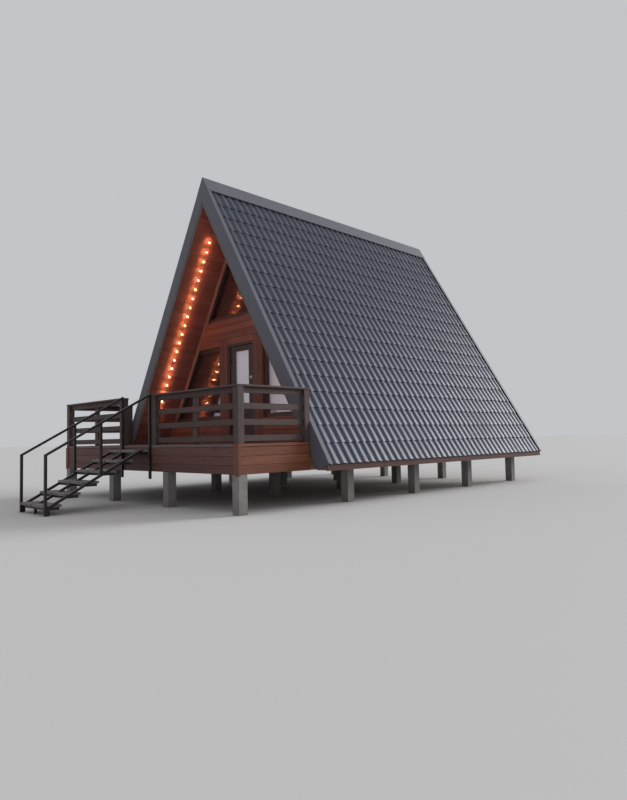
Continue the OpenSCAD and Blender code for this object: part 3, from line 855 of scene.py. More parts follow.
ZINC = PaintedSteel(
    "zinc_steel", "handle_metal", (0.24, 0.23, 0.21), (0.16, 0.12, 0.09),
    rough=0.5, metallic=0.7, dusty=0.2,
)
BULB = LitBulb("lit_bulb", "bulb_glass")
RUBBER = DarkRubber("dark_rubber", "cable")


# Sub-assemblies


def finish_piece(piece: Piece, finish: Finish, body: str = "cabin", stands_for: Sequence[str] = ()) -> Piece:
    """Dresses a new piece, hangs it on its body and reports it.

    Args:
        piece: the object.
        finish: what it is made of.
        body: the CAD body it rides on.
        stands_for: CAD nodes that it replaces.

    Returns:
        The same piece.
    """
    finish.put_on(piece)
    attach(piece, body)
    if stands_for:
        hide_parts(*stands_for)
    LOG.info("%s: %d faces, %s", piece.name, len(piece.data.polygons), finish.name)
    return piece


def dress_nodes(finish: Finish, *nodes: str) -> None:
    """Gives CAD nodes that stay in view their material.

    Args:
        finish: what they are made of.
        nodes: the nodes' names.
    """
    for node in nodes:
        finish.put_on(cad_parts[node])
        LOG.info("%s keeps its solid, %s", node, finish.name)


def add_heads(
    name: str, places: Array, way: Triple, radius: float = 0.005, height: float = 0.0016, sides: int = 8
) -> None:
    """Low zinc heads of screws or bolts that stand on a face.

    Args:
        name: the piece's name.
        places: (n, 3) middles of the heads on the face.
        way: the world axis that the face looks along.
        radius: half of a head's width.
        height: how far a head stands out.
        sides: points round a head.
    """
    out = np.array(way, dtype=float)
    across = np.roll(out, 1)
    frames = np.stack([across, np.cross(out, across), out])[None]
    profile = np.array([[radius, 0.0], [radius, height * 0.5], [radius * 0.65, height]])
    finish_piece(turned(name, profile, sides, places, frames), ZINC)


@dataclass(frozen=True)
class Section:
    """The roof's cross-section: s runs down a slope from the ridge line and n stands square to it."""

    tile_t: float = 0.04
    panel_t: float = 0.235
    lining_t: float = 0.02
    wall_gap: float = 0.001

    @property
    def slope_l(self) -> float:
        """Length of a slope, from the tiles' widest point."""
        return high_of("tile_sheet_right", X) / SINE

    @property
    def ridge_z(self) -> float:
        """Height of the ridge line, from the tiles' lowest point."""
        return low_of("tile_sheet_right", Z) + self.slope_l * COSINE + self.tile_t * SINE

    @property
    def lining_n(self) -> float:
        """Offset of the lining's back."""
        return -self.tile_t - self.panel_t

    @property
    def inner_n(self) -> float:
        """Offset of the lining's visible face."""
        return self.lining_n - self.lining_t

    @property
    def window_n(self) -> float:
        """Offset of the slanted sides of the windows and their casings."""
        return self.inner_n - self.wall_gap

    def x(self, s: Array | float, n: Array | float) -> Any:
        """Distance from the ridge's plane."""
        return s * SINE + n * COSINE

    def z(self, s: Array | float, n: Array | float) -> Any:
        """Height above the ground."""
        return self.ridge_z - s * COSINE + n * SINE

    def x_at(self, n: float, z: Array | float) -> Any:
        """Distance from the ridge's plane of the face at offset n, at height z."""
        return (self.ridge_z + n / SINE - z) * TANGENT

    def apex_z(self, n: float) -> float:
        """Height at which the faces at offset n meet over the middle."""
        return self.ridge_z + n / SINE


SECTION = Section()


@dataclass
class TiledRoof:
    """Pressed metal tile sheets on both slopes, with the ridge cap and the folded trims.

    row_share and row_lift draw one row from its top to its lower edge: how far down each point is,
    and how much of the lap it has risen.
    """

    wave_count: int = 41
    points_per_wave: int = 12
    crest_power: float = 0.8
    row_l: float = 0.35
    row_share: tuple[float, ...] = (0.0, 0.35, 0.7, 0.94, 1.0)
    row_lift: tuple[float, ...] = (0.0, 0.35, 0.75, 1.0, 0.9)
    edge_share: float = 0.9
    lap: float = 0.015
    wave_h: float = 0.023
    scallop: float = 0.014
    crest_share: float = 0.35
    top_gap: float = 0.08
    foot_gap: float = 0.01
    smooth_angle: float = math.radians(35)

    def top(self, crest: Array) -> tuple[Array, Array]:
        """The sheet's upper face across the waves.

        Down the slope each row rises evenly to its lower edge and drops by the lap, and that edge
        runs lower on the crests.

        Args:
            crest: height of the wave at each column, from 0 to 1.

        Returns:
            s and n of the face's points, with the columns as the last axis.
        """
        rows = math.floor(SECTION.slope_l / self.row_l)
        starts = np.maximum(np.arange(rows) * self.row_l, self.top_gap)
        ends = np.append(np.arange(1, rows) * self.row_l, SECTION.slope_l)
        share = np.array(self.row_share)
        s = (starts[:, None] + (ends - starts)[:, None] * share).ravel()
        drop = np.tile(-self.lap * (1 - np.array(self.row_lift)), rows)
        moves = np.tile(share > self.edge_share, rows) * (s < SECTION.slope_l - self.foot_gap)
        top_s = np.minimum(s[:, None] + (crest - 0.5) * self.scallop * moves[:, None], SECTION.slope_l)
        top_n = drop[:, None] * (1 - self.crest_share * crest) - self.wave_h * (1 - crest)
        return top_s, top_n

    def sheet(self, side: Side) -> Piece:
        """One slope's sheet, as a closed shell.

        Along the ridge the height is (0.5 + 0.5 cos) to the power of crest_power, which broadens the
        crests, and the under face is flat.

        Args:
            side: the slope.

        Returns:
            The piece.
        """
        node = f"tile_sheet_{side.word}"
        start, end = low_of(node, Y), high_of(node, Y)
        columns = self.wave_count * self.points_per_wave + 1
        phase = np.linspace(0, self.wave_count, columns)
        top_s, top_n = self.top((0.5 + 0.5 * np.cos(2 * np.pi * phase)) ** self.crest_power)
        under_s = np.array([SECTION.slope_l, self.top_gap])[:, None] + 0 * phase
        s = np.concatenate([top_s, under_s])
        n = np.concatenate([top_n, np.full_like(under_s, -SECTION.tile_t)])
        y = np.broadcast_to(start + (end - start) * phase / self.wave_count, s.shape)
        vertices = np.stack([side.value * SECTION.x(s, n), y, SECTION.z(s, n)], axis=-1).transpose(1, 0, 2)
        faces = capped_rings(columns, len(s))
        if side is Side.RIGHT:
            faces = [part[:, ::-1] for part in faces]
        return add_mesh(f"tiles_{side.word}", vertices, faces, self.smooth_angle)

    def build(self) -> None:
        """Both sheets, the cap and the trims."""
        for side in Side:
            finish_piece(self.sheet(side), TILE_METAL, stands_for=[f"tile_sheet_{side.word}"])
        dress_nodes(TRIM_METAL, "ridge_cap", "verge_trims")


@dataclass
class RoofUnderside:
    """The board lining of both slopes, the barge boards, the eave boards and the panels behind them."""

    board_w: float = 0.115
    joint: float = 0.001
    bevel: float = 0.004
    seed: int = 20

    def lining(self, side: Side) -> Piece:
        """One slope's lining: long boards side by side down the slope, facing the room.

        Args:
            side: the slope.

        Returns:
            The piece.
        """
        node = f"roof_lining_{side.word}"
        n = SECTION.inner_n
        top_s = -n / TANGENT
        low_s = (SECTION.ridge_z - low_of(node, Z)) / COSINE + n * TANGENT
        boards = strips(top_s, low_s, self.board_w, self.joint)
        run = np.array([[low_of(node, Y), high_of(node, Y)]])
        origin = (side.value * SECTION.x(0, SECTION.lining_n), 0.0, SECTION.z(0, SECTION.lining_n))
        down, back = (side.value * SINE, 0.0, -COSINE), (0.0, 1.0, 0.0)
        if side is Side.RIGHT:
            plane, corners = Plane(origin, back, down), rectangles(run, boards)
        else:
            plane, corners = Plane(origin, down, back), rectangles(boards, run)
        seed = self.seed + side.value
        return lay_boards(f"lining_boards_{side.word}", plane, corners, SECTION.lining_t, self.bevel, seed)

    def build(self) -> None:
        """The linings and the wooden edges."""
        for side in Side:
            finish_piece(self.lining(side), RED_Y, stands_for=[f"roof_lining_{side.word}"])
            dress_nodes(SAWN, f"roof_panel_{side.word}")
        dress_nodes(BARGE, "barge_boards")
        dress_nodes(EAVE, "eave_boards")


@dataclass
class Gable:
    """The board cladding on one gable, cut along its casings, with its windows and wall."""

    end: End
    board_t: float = 0.018
    board_w: float = 0.14
    joint: float = 0.003
    bevel: float = 0.005
    casing_w: float = 0.111
    door_x: float = 0.435
    window_x: float = 0.72
    sill_h: float = 0.5
    frame_w: float = 0.075
    bead_w: float = 0.018
    bead_set_back: float = 0.004
    seed: int = 31

    @property
    def levels(self) -> tuple[float, float, float, float]:
        """Heights of the floor, the sills, the door's head and the upper window's foot."""
        wall = "front_wall_right"
        sill_z = low_of(wall, Z) + self.sill_h
        return low_of(wall, Z), sill_z, low_of("front_wall_over_door", Z), high_of(wall, Z)

    def outer_y(self, node: str) -> float:
        """Where a node's outer face lies."""
        return low_of(node, Y) if self.end is End.FRONT else high_of(node, Y)

    def level_boards(self, low: float, high: float, near: float | None) -> Array:
        """Level boards between two heights, cut along the casing.

        Args:
            low: lower edge.
            high: upper edge.
            near: inner end of the boards on the right; None runs them from casing to casing.

        Returns:
            (n, 4, 2) outlines in X and Z on the right side, or across.
        """
        z = strips(low, high, self.board_w, self.joint)
        outer = SECTION.x_at(SECTION.window_n - self.casing_w, z)
        inner = -outer if near is None else np.full_like(outer, near)
        across = np.concatenate([inner[:, :1], outer, inner[:, 1:]], axis=1)
        return np.stack([across, z[:, [0, 0, 1, 1]]], axis=-1)

    @staticmethod
    def with_mirror(corners: Array) -> Array:
        """The outlines and their mirror images, still counter-clockwise."""
        return np.concatenate([corners, corners[:, ::-1] * np.array([-1.0, 1.0])])

    def cladding(self) -> None:
        """All boards on this gable's outer face."""
        floor_z, sill_z, head_z, upper_z = self.levels
        front = self.end is End.FRONT
        plane = upright_plane(self.outer_y("front_wall_right" if front else "back_wall"), self.end)
        rows = strips(head_z, upper_z, self.board_w, self.joint)
        top = float(rows[1, 0])
        level = [
            self.level_boards(top, upper_z, None),
            self.with_mirror(self.level_boards(floor_z, sill_z, self.window_x)),
            self.with_mirror(self.level_boards(head_z, top - self.joint, self.window_x)),
        ]
        if front:
            level.append(rectangles(np.array([[-self.door_x, self.door_x]]), rows[:1]))
        near = self.door_x if front else 0.0
        upright_x = strips(near, self.window_x, self.board_w, self.joint)
        upright = self.with_mirror(rectangles(upright_x, np.array([[floor_z, top - self.joint]])))
        for word, corners, finish, seed in (
            ("level", np.concatenate(level), RED_X, self.seed),
            ("upright", upright, RED_Z, self.seed + 1),
        ):
            name = f"{self.end.word}_{word}_boards"
            finish_piece(lay_boards(name, plane, corners, self.board_t, self.bevel, seed), finish)

    def glazing(self) -> None:
        """Mitred beads round the three panes, a little behind the frames' faces."""
        _, sill_z, head_z, upper_z = self.levels
        glass_y = self.outer_y(f"{self.end.word}_window_glass")
        frame_y = self.outer_y(f"{self.end.word}_window_frames")
        near, n = self.window_x, SECTION.window_n
        sill_x, head_x, wide = SECTION.x_at(n, np.array([sill_z, head_z, upper_z]))
        lower = np.array([[near, sill_z], [sill_x, sill_z], [head_x, head_z], [near, head_z]])
        upper = np.array([[-wide, upper_z], [wide, upper_z], [0.0, SECTION.apex_z(n)]])
        outlines = [upper, *self.with_mirror(lower[None])]
        panes = [inset_corners(outline[None], self.frame_w)[0] for outline in outlines]
        bars = [frame_bars(pane, self.bead_w) for pane in panes]
        depth = abs(glass_y - frame_y) - self.bead_set_back
        name, plane = f"{self.end.word}_glazing_beads", upright_plane(glass_y, self.end)
        finish_piece(lay_boards(name, plane, np.concatenate(bars), depth, self.bevel, self.seed + 2), FRAME)

    def build(self) -> None:
        """Boards, walls and windows."""
        self.cladding()
        self.glazing()
        if self.end is End.FRONT:
            dress_nodes(RED_X, "front_wall_left", "front_wall_right", "front_wall_over_door")
        else:
            dress_nodes(RED_X, "back_wall")
        dress_nodes(FRAME, f"{self.end.word}_window_frames")
        dress_nodes(GLASS, f"{self.end.word}_window_glass")


@dataclass
class Door:
    """The hinged front door: its frame, a framed and boarded leaf, glass in beads, handle and hinges."""

    lock_rail: float = 0.16
    low_rail: float = 0.2
    panel_board: float = 0.08
    panel_joint: float = 0.001
    panel_set_back: float = 0.011
    ease: float = 0.003
    bead_w: float = 0.016
    bead_set_back: float = 0.001
    seed: int = 61

    def leaf(self) -> None:
        """Two stiles with upright panel boards between them, and three rails."""
        low, high = box_of("door_leaf")
        light_low, light_high = box_of("door_glass")
        inner = light_high[X]
        lock_z, low_z = light_low[Z] - self.lock_rail, low[Z] + self.low_rail
        face, back = low[Y] + self.panel_set_back, high[Y] - self.panel_set_back
        boards = strips(-inner, inner, self.panel_board, self.panel_joint)
        uprights = [(low, (-inner, high[Y], high[Z])), ((inner, low[Y], low[Z]), high)]
        uprights += [((x0, face, low_z), (x1, back, lock_z)) for x0, x1 in boards]
        spans = ((low[Z], low_z), (lock_z, light_low[Z]), (light_high[Z], high[Z]))
        rails = [((-inner, low[Y], foot), (inner, high[Y], top)) for foot, top in spans]
        leaf = timber_boxes("door_leaf_uprights", uprights, self.ease, self.seed)
        finish_piece(leaf, FRAME, "door", ["door_leaf"])
        finish_piece(timber_boxes("door_leaf_rails", rails, self.ease, self.seed + 1), FRAME_X, "door")

    def beads(self) -> None:
        """Mitred beads on both faces of the glass."""
        low, high = box_of("door_glass")
        pane = rectangles(np.array([[low[X], high[X]]]), np.array([[low[Z], high[Z]]]))[0]
        bars = frame_bars(pane, self.bead_w)
        for word, end, y, leaf_y in (
            ("outer", End.FRONT, low[Y], low_of("door_leaf", Y)),
            ("inner", End.BACK, high[Y], high_of("door_leaf", Y)),
        ):
            name, depth = f"door_beads_{word}", abs(leaf_y - y) - self.bead_set_back
            beads = lay_boards(name, upright_plane(y, end), bars, depth, self.ease, self.seed + 2)
            finish_piece(beads, FRAME, "door")

    def build(self) -> None:
        """The leaf is new; the frame, the glass, the handle and the hinges keep their solids."""
        self.leaf()
        self.beads()
        dress_nodes(FRAME, "door_frame")
        dress_nodes(GLASS, "door_glass")
        dress_nodes(SATIN, "door_handle")
        dress_nodes(STEEL, "door_hinges")


@dataclass
class Curtains:
    """Light cloth behind the door's glass and the right window, and the wider one's rod."""

    fold_pitch: float = 0.11
    fold_top: float = 0.6
    wander: float = 0.6
    wander_rate: float = 5.3
    slow_pitch: float = 0.297
    slow_depth: float = 0.35
    slow_lean: float = 1.3
    window_fold: float = 0.019
    door_fold: float = 0.0065
    columns: int = 220
    rows: int = 60
    roof_gap: float = 0.06
    smooth_angle: float = math.radians(60)
    rod_r: float = 0.009
    rod_end_r: float = 0.004
    rod_end_l: float = 0.003
    rod_over: float = 0.05
    rod_roof_gap: float = 0.03
    rod_rise: float = 0.012
    rod_sides: int = 12

    def hang(self, word: str, top_cut: bool, depth: float) -> Piece:
        """A hung sheet: folds are a sine across whose depth grows downwards, over a slower second wave.

        The folds' pitch wanders with a third sine, and the slower wave leans over the height.

        Args:
            word: window or door, for the piece's name and the CAD solid whose room the cloth takes.
            top_cut: cuts the sheet's outer side along the roof.
            depth: half of the folds' depth.

        Returns:
            The piece.
        """
        low, high = box_of(f"{word}_curtain")
        u, v = np.meshgrid(np.linspace(0, 1, self.columns), np.linspace(0, 1, self.rows))
        z = low[Z] + (high[Z] - low[Z]) * v
        outer = np.full_like(z, high[X])
        if top_cut:
            outer = np.minimum(outer, SECTION.x_at(SECTION.inner_n, z) - self.roof_gap)
        x = low[X] + (outer - low[X]) * u
        phase = 2 * np.pi * x / self.fold_pitch + self.wander * np.sin(self.wander_rate * x)
        folds = np.sin(phase) * (self.fold_top + (1 - self.fold_top) * (1 - v))
        slow = self.slow_depth * np.sin(2 * np.pi * x / self.slow_pitch + 1.0 + self.slow_lean * v)
        y = (low[Y] + high[Y]) / 2 + depth * (folds + slow) / (1 + self.slow_depth)
        faces = [grid_quads(self.rows, self.columns)]
        return add_mesh(f"{word}_curtain_cloth", np.stack([x, y, z], axis=-1), faces, self.smooth_angle)

    def rod(self) -> Piece:
        """The round rod of the wider curtain."""
        rod_z, y = high_of("window_curtain", Z), middle_of("window_curtain", Y)
        start = low_of("window_curtain", X) - self.rod_over
        length = float(SECTION.x_at(SECTION.inner_n, rod_z)) - self.rod_roof_gap - start
        radius = [self.rod_end_r, self.rod_r, self.rod_r, self.rod_end_r]
        profile = np.stack([radius, [0.0, self.rod_end_l, length - self.rod_end_l, length]], axis=1)
        place = np.array([[start, y, rod_z + self.rod_rise]])
        frames = np.array([[[0, 1, 0], [0, 0, 1], [1, 0, 0]]], dtype=float)
        return turned("curtain_rod", profile, self.rod_sides, place, frames)

    def build(self) -> None:
        """The rod, and both curtains, dressed in cloth."""
        rod = finish_piece(self.rod(), SATIN)
        window = self.hang("window", True, self.window_fold)
        finish_piece(window, CLOTH, stands_for=["window_curtain"])
        door = self.hang("door", False, self.door_fold)
        finish_piece(door, CLOTH, "door", ["door_curtain"])


@dataclass
class Platform:
    """Piles, bearers, joists and the floor and porch boards."""

    plank_w: float = 0.14
    plank_gap: float = 0.005
    bevel: float = 0.004
    roof_gap: float = 0.001
    side_gap: float = 0.004
    edge_board_l: float = 2.0
    edge_joint: float = 0.002
    floor_w: float = 0.12
    floor_joint: float = 0.0006
    floor_bevel: float = 0.0015
    shadow_gap: float = 0.01
    fascia_gap: float = 0.003
    joist_pitch: float = 0.62
    first_joist: float = 0.05
    plank_screw_in: float = 0.025
    fascia_screw_in: float = 0.03
    front_screws: int = 10
    front_screw_in: float = 0.15
    side_screws: int = 3
    side_screw_in: float = 0.12
    seed: int = 41

    def planks(self) -> None:
        """The porch: planks along Y up to the roof, and a board along the front and each side."""
        low, high = box_of("porch_boards")
        thick, plane = float(high[Z] - low[Z]), level_plane(float(low[Z]))
        inner_x = float(SECTION.x_at(SECTION.inner_n, high[Z]))
        roof_y = low_of("ridge_cap", Y)
        edges = strips(low[X], high[X], self.plank_w, self.plank_gap)
        reach = np.abs(edges).max(axis=1)
        ends = np.where(reach < inner_x - self.side_gap, high[Y], roof_y - self.roof_gap)
        start = low[Y] + self.plank_w
        along = np.stack([np.full_like(ends, start + self.plank_gap), ends], axis=1)
        outer = reach > high[X] - self.plank_w / 2
        along[outer, 0] = low[Y]
        half = float(edges[~outer].max())
        edge_x = strips(-half, half, self.edge_board_l, self.edge_joint)
        for name, corners, finish, seed, stands_for in (
            ("porch_planks", rectangles(edges[~outer], along[~outer]), PORCH_Y, self.seed, ["porch_boards"]),
            ("porch_side_planks", rectangles(edges[outer], along[outer]), FASCIA_Y_LIT, self.seed + 5, []),
            ("porch_edge_boards", rectangles(edge_x, np.array([[low[Y], start]])), EDGE_WORN_AND_LIT, self.seed + 4, []),
        ):
            boards = lay_boards(name, plane, corners, thick, self.bevel, seed)
            finish_piece(boards, finish, stands_for=stands_for)
        joists = np.arange(start + self.first_joist, roof_y, self.joist_pitch)
        rows = edges + np.array([[self.plank_screw_in, -self.plank_screw_in]])
        add_heads("porch_screws", every_place(rows.ravel(), joists, float(high[Z])), (0, 0, 1))

    def floor(self) -> None:
        """The room's floor: narrow boards along Y with tight joints."""
        low, high = box_of("floor_boards")
        half = float(SECTION.x_at(SECTION.inner_n, high[Z]))
        edges = strips(-half, half, self.floor_w, self.floor_joint)
        corners = rectangles(edges, np.array([[low[Y], high[Y]]]))
        thick, plane = float(high[Z] - low[Z]), level_plane(float(low[Z]))
        boards = lay_boards("room_floor_boards", plane, corners, thick, self.floor_bevel, self.seed + 1)
        finish_piece(boards, FLOOR, stands_for=["floor_boards"])

    def fascias(self) -> None:
        """Three boards one over the other, round the porch, each with its screws."""
        low, high = box_of("porch_fascia_front")
        side_low, side_high = box_of("porch_fascia_sides")
        depth = float(high[Y] - low[Y])
        heights = strips(float(low[Z]), float(high[Z]) - self.shadow_gap, self.plank_w, self.fascia_gap)
        across = rectangles(np.array([[low[X], high[X]]]), heights)
        plane = upright_plane(float(high[Y]), End.FRONT)
        front = lay_boards("fascia_boards_front", plane, across, depth, self.bevel, self.seed + 2)
        finish_piece(front, FASCIA_X_SHADED, stands_for=["porch_fascia_front"])
        boxes = []
        for side in Side:
            x0, x1 = sorted((side.value * (side_high[X] - depth), side.value * side_high[X]))
            boxes += [((x0, side_low[Y], z0), (x1, side_high[Y], z1)) for z0, z1 in heights]
        sides = timber_boxes("fascia_boards_sides", boxes, self.bevel, self.seed + 3)
        finish_piece(sides, FASCIA_Y_LIT, stands_for=["porch_fascia_sides"])
        rows = np.concatenate([heights[:, 0] + self.fascia_screw_in, heights[:, 1] - self.fascia_screw_in])
        posts = np.linspace(low[X] + self.front_screw_in, high[X] - self.front_screw_in, self.front_screws)
        add_heads("fascia_screws_front", every_place(posts, low[Y], rows), (0, -1, 0))
        first, last = side_low[Y] + self.side_screw_in, side_high[Y] - self.side_screw_in
        runs = np.linspace(first, last, self.side_screws)
        for side in Side:
            places = every_place(side.value * float(side_high[X]), runs, rows)
            add_heads(f"fascia_screws_{side.word}", places, (side.value, 0, 0))

    def build(self) -> None:
        """The whole platform."""
        self.planks()
        self.floor()
        self.fascias()
        dress_nodes(FASCIA_Z, "porch_corner_boards")
        dress_nodes(CONCRETE, "piles")
        dress_nodes(SAWN, "floor_bearers", "floor_joists")


@dataclass
class Railing:
    """Posts, caps and rail boards round the porch: planed timber with eased edges."""

    post_w: float = 0.12
    cap_t: float = 0.032
    slat_h: float = 0.095
    slat_t: float = 0.026
    slat_foot: float = 0.035
    slats: int = 4
    ease: float = 0.005
    slat_screw_in: float = 0.025
    screw_columns: tuple[float, float] = (0.3, 0.7)
    cap_screw_apart: float = 0.03
    seed: int = 71

    @property
    def cap_z(self) -> float:
        """Height of the caps' undersides."""
        return high_of("railing_right", Z) - self.cap_t

    @property
    def slat_z(self) -> Array:
        """Heights of the rail boards' lower edges, evenly spread under the cap."""
        low = low_of("railing_posts", Z) + self.slat_foot
        return low + np.arange(self.slats) * (self.cap_z - low - self.slat_h) / (self.slats - 1)

    def posts(self) -> None:
        """Three square posts on each side: beside the stair, at the corner and at the roof."""
        low, high = box_of("railing_posts")
        far_x, far_y = high[X] - self.post_w, high[Y] - self.post_w
        near = [(low_of("railing_front_right", X), low[Y]), (far_x, low[Y]), (far_x, far_y)]
        near += [(-x - self.post_w, y) for x, y in near]
        boxes = [((x, y, low[Z]), (x + self.post_w, y + self.post_w, high[Z])) for x, y in near]
        posts = timber_boxes("railing_post_timbers", boxes, self.ease, self.seed)
        finish_piece(posts, PORCH_Z, stands_for=["railing_posts"])

    def front(self, side: Side) -> None:
        """The section beside the stair: rail boards, a middle post behind them, and the cap.

        Args:
            side: left or right of the stair.
        """
        node = f"railing_front_{side.word}"
        low, high = box_of(node)
        x0, x1, y = low[X] + self.post_w, high[X] - self.post_w, middle_of(node, Y)
        y0, y1 = y - self.slat_t / 2, y + self.slat_t / 2
        post_x, foot_z = (x0 + x1 - self.post_w) / 2, low_of("railing_posts", Z)
        boxes = [((x0, y0, z), (x1, y1, z + self.slat_h)) for z in self.slat_z]
        boxes.append(((post_x, y1, foot_z), (post_x + self.post_w, y1 + 2 * self.slat_t, self.cap_z)))
        boxes.append(((low[X], low[Y], self.cap_z), high))
        seed = self.seed + 1 + side.value
        boards = timber_boxes(f"railing_boards_front_{side.word}", boxes, self.ease, seed)
        finish_piece(boards, PORCH_X, stands_for=[node])
        columns = post_x + self.post_w * np.array(self.screw_columns)
        rows = [self.slat_z + up for up in (self.slat_screw_in, self.slat_h - self.slat_screw_in)]
        places = every_place(columns, y0, np.concatenate(rows))
        add_heads(f"railing_screws_{side.word}", places, (0, -1, 0))
        over_posts = [low[X] + self.post_w / 2, post_x + self.post_w / 2, high[X] - self.post_w / 2]
        across = [y - self.cap_screw_apart, y + self.cap_screw_apart]
        add_heads(f"railing_cap_screws_{side.word}", every_place(over_posts, across, high[Z]), (0, 0, 1))

    def side(self, side: Side) -> None:
        """The section from the corner post back to the roof.

        Args:
            side: which side of the porch.
        """
        node = f"railing_{side.word}"
        low, high = box_of(node)
        posts_low, posts_high = box_of("railing_posts")
        y0, y1 = posts_low[Y] + self.post_w, posts_high[Y] - self.post_w
        x0, x1 = middle_of(node, X) - self.slat_t / 2, middle_of(node, X) + self.slat_t / 2
        boxes = [((x0, y0, z), (x1, y1, z + self.slat_h)) for z in self.slat_z]
        boxes.append(((low[X], low[Y], self.cap_z), high))
        seed = self.seed + 4 + side.value
        boards = timber_boxes(f"railing_boards_{side.word}", boxes, self.ease, seed)
        finish_piece(boards, PORCH_Y, stands_for=[node])

    def build(self) -> None:
        """The whole railing."""
        self.posts()
        for side in Side:
            self.front(side)
            self.side(side)


@dataclass
class Stair:
    """Treads of two planks on each side of the middle stringer, with their bolts, and the steelwork."""

    treads: int = 6
    depth: float = 0.29
    thick: float = 0.042
    plank_gap: float = 0.006
    middle_x: float = 0.022
    chamfer: float = 0.004
    bolt_in: float = 0.045
    bolt_r: float = 0.009
    bolt_h: float = 0.004
    rail_bolt_r: float = 0.011
    rail_bolt_h: float = 0.007
    rail_bolt_drops: tuple[float, float] = (0.14, 0.38)
    rail_bolt_out: float = 0.04
    seed: int = 51

    def planks(self) -> None:
        """Four planks to a tread, each bolted near its corners."""
        low, high = box_of("stair_treads")
        rise = (high[Z] - low[Z] - self.thick) / (self.treads - 1)
        going = (high[Y] - low[Y] - self.depth) / (self.treads - 1)
        plank_d = (self.depth - self.plank_gap) / 2
        back = plank_d + self.plank_gap
        step = np.repeat(np.arange(self.treads), 4)
        x0 = np.tile([low[X], self.middle_x], 2 * self.treads)
        x1 = np.tile([-self.middle_x, high[X]], 2 * self.treads)
        y = low[Y] + step * going + np.tile([0.0, 0.0, back, back], self.treads)
        z = low[Z] + step * rise
        lows, highs = np.stack([x0, y, z], axis=1), np.stack([x1, y + plank_d, z + self.thick], axis=1)
        planks = timber_boxes("tread_planks", np.stack([lows, highs], axis=1), self.chamfer, self.seed)
        finish_piece(planks, TREAD, stands_for=["stair_treads"])
        bolts = [
            np.stack([bolt_x, bolt_y, z + self.thick], axis=1)
            for bolt_x in (x0 + self.bolt_in, x1 - self.bolt_in)
            for bolt_y in (y + self.bolt_in, y + plank_d - self.bolt_in)
        ]
        add_heads("tread_bolts", np.concatenate(bolts), (0, 0, 1), self.bolt_r, self.bolt_h)

    def build(self) -> None:
        """Treads, stringers and handrails, whose posts are bolted to the porch."""
        self.planks()
        dress_nodes(STEEL, "stair_stringers", "handrail_left", "handrail_right")
        x, y = middle_of("handrail_right", X), low_of("porch_fascia_front", Y) - self.rail_bolt_out
        z = low_of("railing_posts", Z) - np.array(self.rail_bolt_drops)
        places = every_place([-x, x], y, z)
        add_heads("handrail_bolts", places, (0, -1, 0), self.rail_bolt_r, self.rail_bolt_h)


@dataclass
class StringOfLights:
    """Lit bulbs in sockets on a cable under both slopes."""

    bulbs: int = 21
    pitch: float = 0.21
    first_s: float = 1.18
    socket_r: float = 0.013
    socket_l: float = 0.032
    bulb_r: float = 0.024
    cable_off: float = 0.01
    cable_r: float = 0.004
    globe_from: float = -1.15
    globe_to: float = 1.5
    globe_rings: int = 9
    segments: int = 12

    def build(self) -> None:
        """Sockets and bulbs hang square to the slope, from the cable on."""
        y = middle_of("light_cable", Y)
        s = self.first_s + self.pitch * np.arange(self.bulbs)
        n = SECTION.inner_n - self.cable_off - self.cable_r
        places, frames = [], []
        for side in Side:
            x = side.value * SECTION.x(s, n)
            places.append(np.stack([x, np.full_like(s, y), SECTION.z(s, n)], axis=1))
            across, axis = np.array([0.0, 1.0, 0.0]), np.array([-side.value * COSINE, 0.0, -SINE])
            frame_of_one = np.stack([across, np.cross(axis, across), axis])[None]
            frames.append(np.repeat(frame_of_one, self.bulbs, axis=0))
        spots, axes = np.concatenate(places), np.concatenate(frames)
        socket = np.array([
            [self.cable_r, 0.0], [self.socket_r * 0.8, 0.001], [self.socket_r, 0.006],
            [self.socket_r, self.socket_l - 0.004], [self.socket_r * 0.85, self.socket_l],
        ])
        turn = np.linspace(self.globe_from, self.globe_to, self.globe_rings)
        middle = [0.0, self.socket_l + self.bulb_r * 0.6]
        globe = self.bulb_r * np.stack([np.cos(turn), np.sin(turn)], axis=1) + middle
        neck = np.array([[self.socket_r * 0.7, self.socket_l - 0.002]])
        finish_piece(turned("light_sockets", socket, self.segments, spots, axes), RUBBER)
        globes = turned("light_globes", np.concatenate([neck, globe]), self.segments, spots, axes)
        finish_piece(globes, BULB, stands_for=["light_bulbs"])
        dress_nodes(RUBBER, "light_cable")


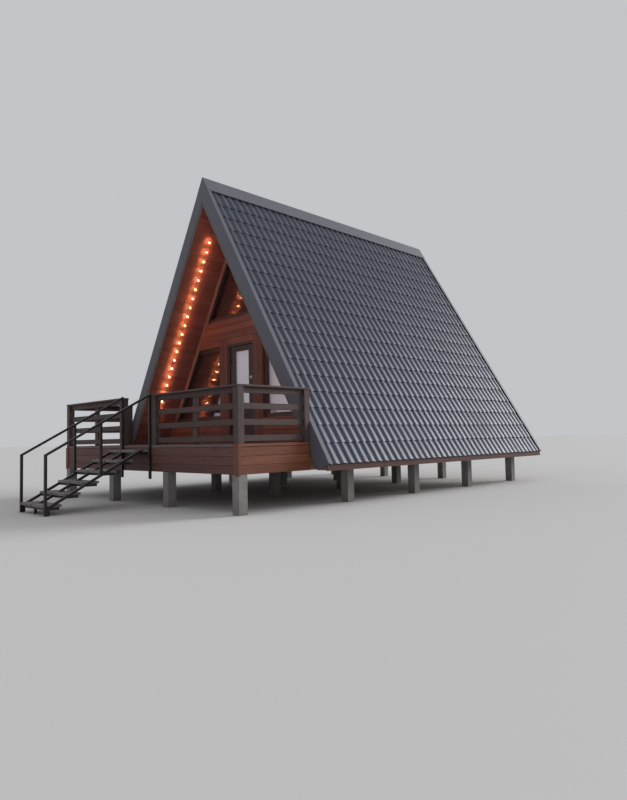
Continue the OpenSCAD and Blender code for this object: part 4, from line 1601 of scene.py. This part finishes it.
@dataclass
class Studio:
    """A pale floor, a pale sky, soft light and the camera at the photograph's place."""

    camera_place: Triple = (10.4037, -9.33, 1.1209)
    yaw: float = 0.7890
    pitch: float = 0.0610
    roll: float = -0.0216
    focal_px: float = 626.02
    image_h_px: float = 800.0
    sensor_mm: float = 36.0
    far_clip: float = 500.0
    ground: Colour = (0.62, 0.61, 0.6)
    floor_r: float = 300.0
    floor_drop: float = 0.002
    floor_sides: int = 96
    sky: Colour = (0.86, 0.87, 0.9)
    sky_light: float = 0.64
    sun_light: float = 2.4
    sun_angle: float = math.radians(30)
    sun_from: Triple = (0.3, 0.88, 0.37)

    def floor(self) -> None:
        """A wide round floor at the height of the ground."""
        angle = np.linspace(0, 2 * np.pi, self.floor_sides, endpoint=False)
        low = np.full_like(angle, -self.floor_drop)
        ring = np.stack([self.floor_r * np.cos(angle), self.floor_r * np.sin(angle), low], axis=1)
        floor = add_mesh("studio_floor", ring, [np.arange(self.floor_sides)[None]])
        shader = Shader("studio_ground")
        clouds = shader.noise(0.4, detail=2.0)
        shader.feed(Base_Color=shader.mix(clouds * 0.1, self.ground, times(self.ground, 0.9)))
        shader.feed(Roughness=0.9, Specular_IOR_Level=0.1)
        floor.data.materials.append(shader.material)

    def light(self) -> None:
        """An even pale world and one large soft sun from the back right, as low as the photograph's."""
        world = bpy.data.worlds.new("studio_sky")
        world.use_nodes = True
        background = world.node_tree.nodes["Background"]
        background.inputs["Color"].default_value = (*self.sky, 1.0)
        background.inputs["Strength"].default_value = self.sky_light
        bpy.context.scene.world = world
        sun = bpy.data.lights.new("soft_sun", "SUN")
        sun.energy, sun.angle = self.sun_light, self.sun_angle
        lamp = bpy.data.objects.new("soft_sun", sun)
        lamp.rotation_euler = Vector(self.sun_from).to_track_quat("Z", "Y").to_euler()
        bpy.context.scene.collection.objects.link(lamp)

    def camera(self) -> None:
        """The camera: yaw, then pitch, then roll, with the lens from the focal length in pixels."""
        data = bpy.data.cameras.new("photo_camera")
        data.sensor_width = data.sensor_height = self.sensor_mm
        data.lens = self.focal_px / self.image_h_px * self.sensor_mm
        data.clip_end = self.far_clip
        camera = bpy.data.objects.new("photo_camera", data)
        place = Matrix.Translation(self.camera_place)
        for angle, axis in ((self.yaw, "Z"), (math.pi / 2 + self.pitch, "X"), (self.roll, "Z")):
            place = place @ Matrix.Rotation(angle, 4, axis)
        camera.matrix_world = place
        bpy.context.scene.collection.objects.link(camera)
        bpy.context.scene.camera = camera

    def build(self) -> None:
        """Everything that isn't the cabin."""
        self.floor()
        self.light()
        self.camera()
        bpy.context.scene.view_settings.view_transform = "Standard"


def main() -> None:
    """Builds every sub-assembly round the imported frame."""
    logging.basicConfig(level=logging.INFO, format="%(name)s: %(message)s")
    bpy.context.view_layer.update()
    parts: list[Any] = [TiledRoof(), RoofUnderside(), Gable(End.FRONT), Gable(End.BACK), Door(), Curtains(),
                        Platform(), Railing(), Stair(), StringOfLights(), Studio()]
    dress_nodes(CASING, "gable_casings")
    for part in parts:
        part.build()
        LOG.info("%s is done", type(part).__name__)


if __name__ == "__main__":
    main()
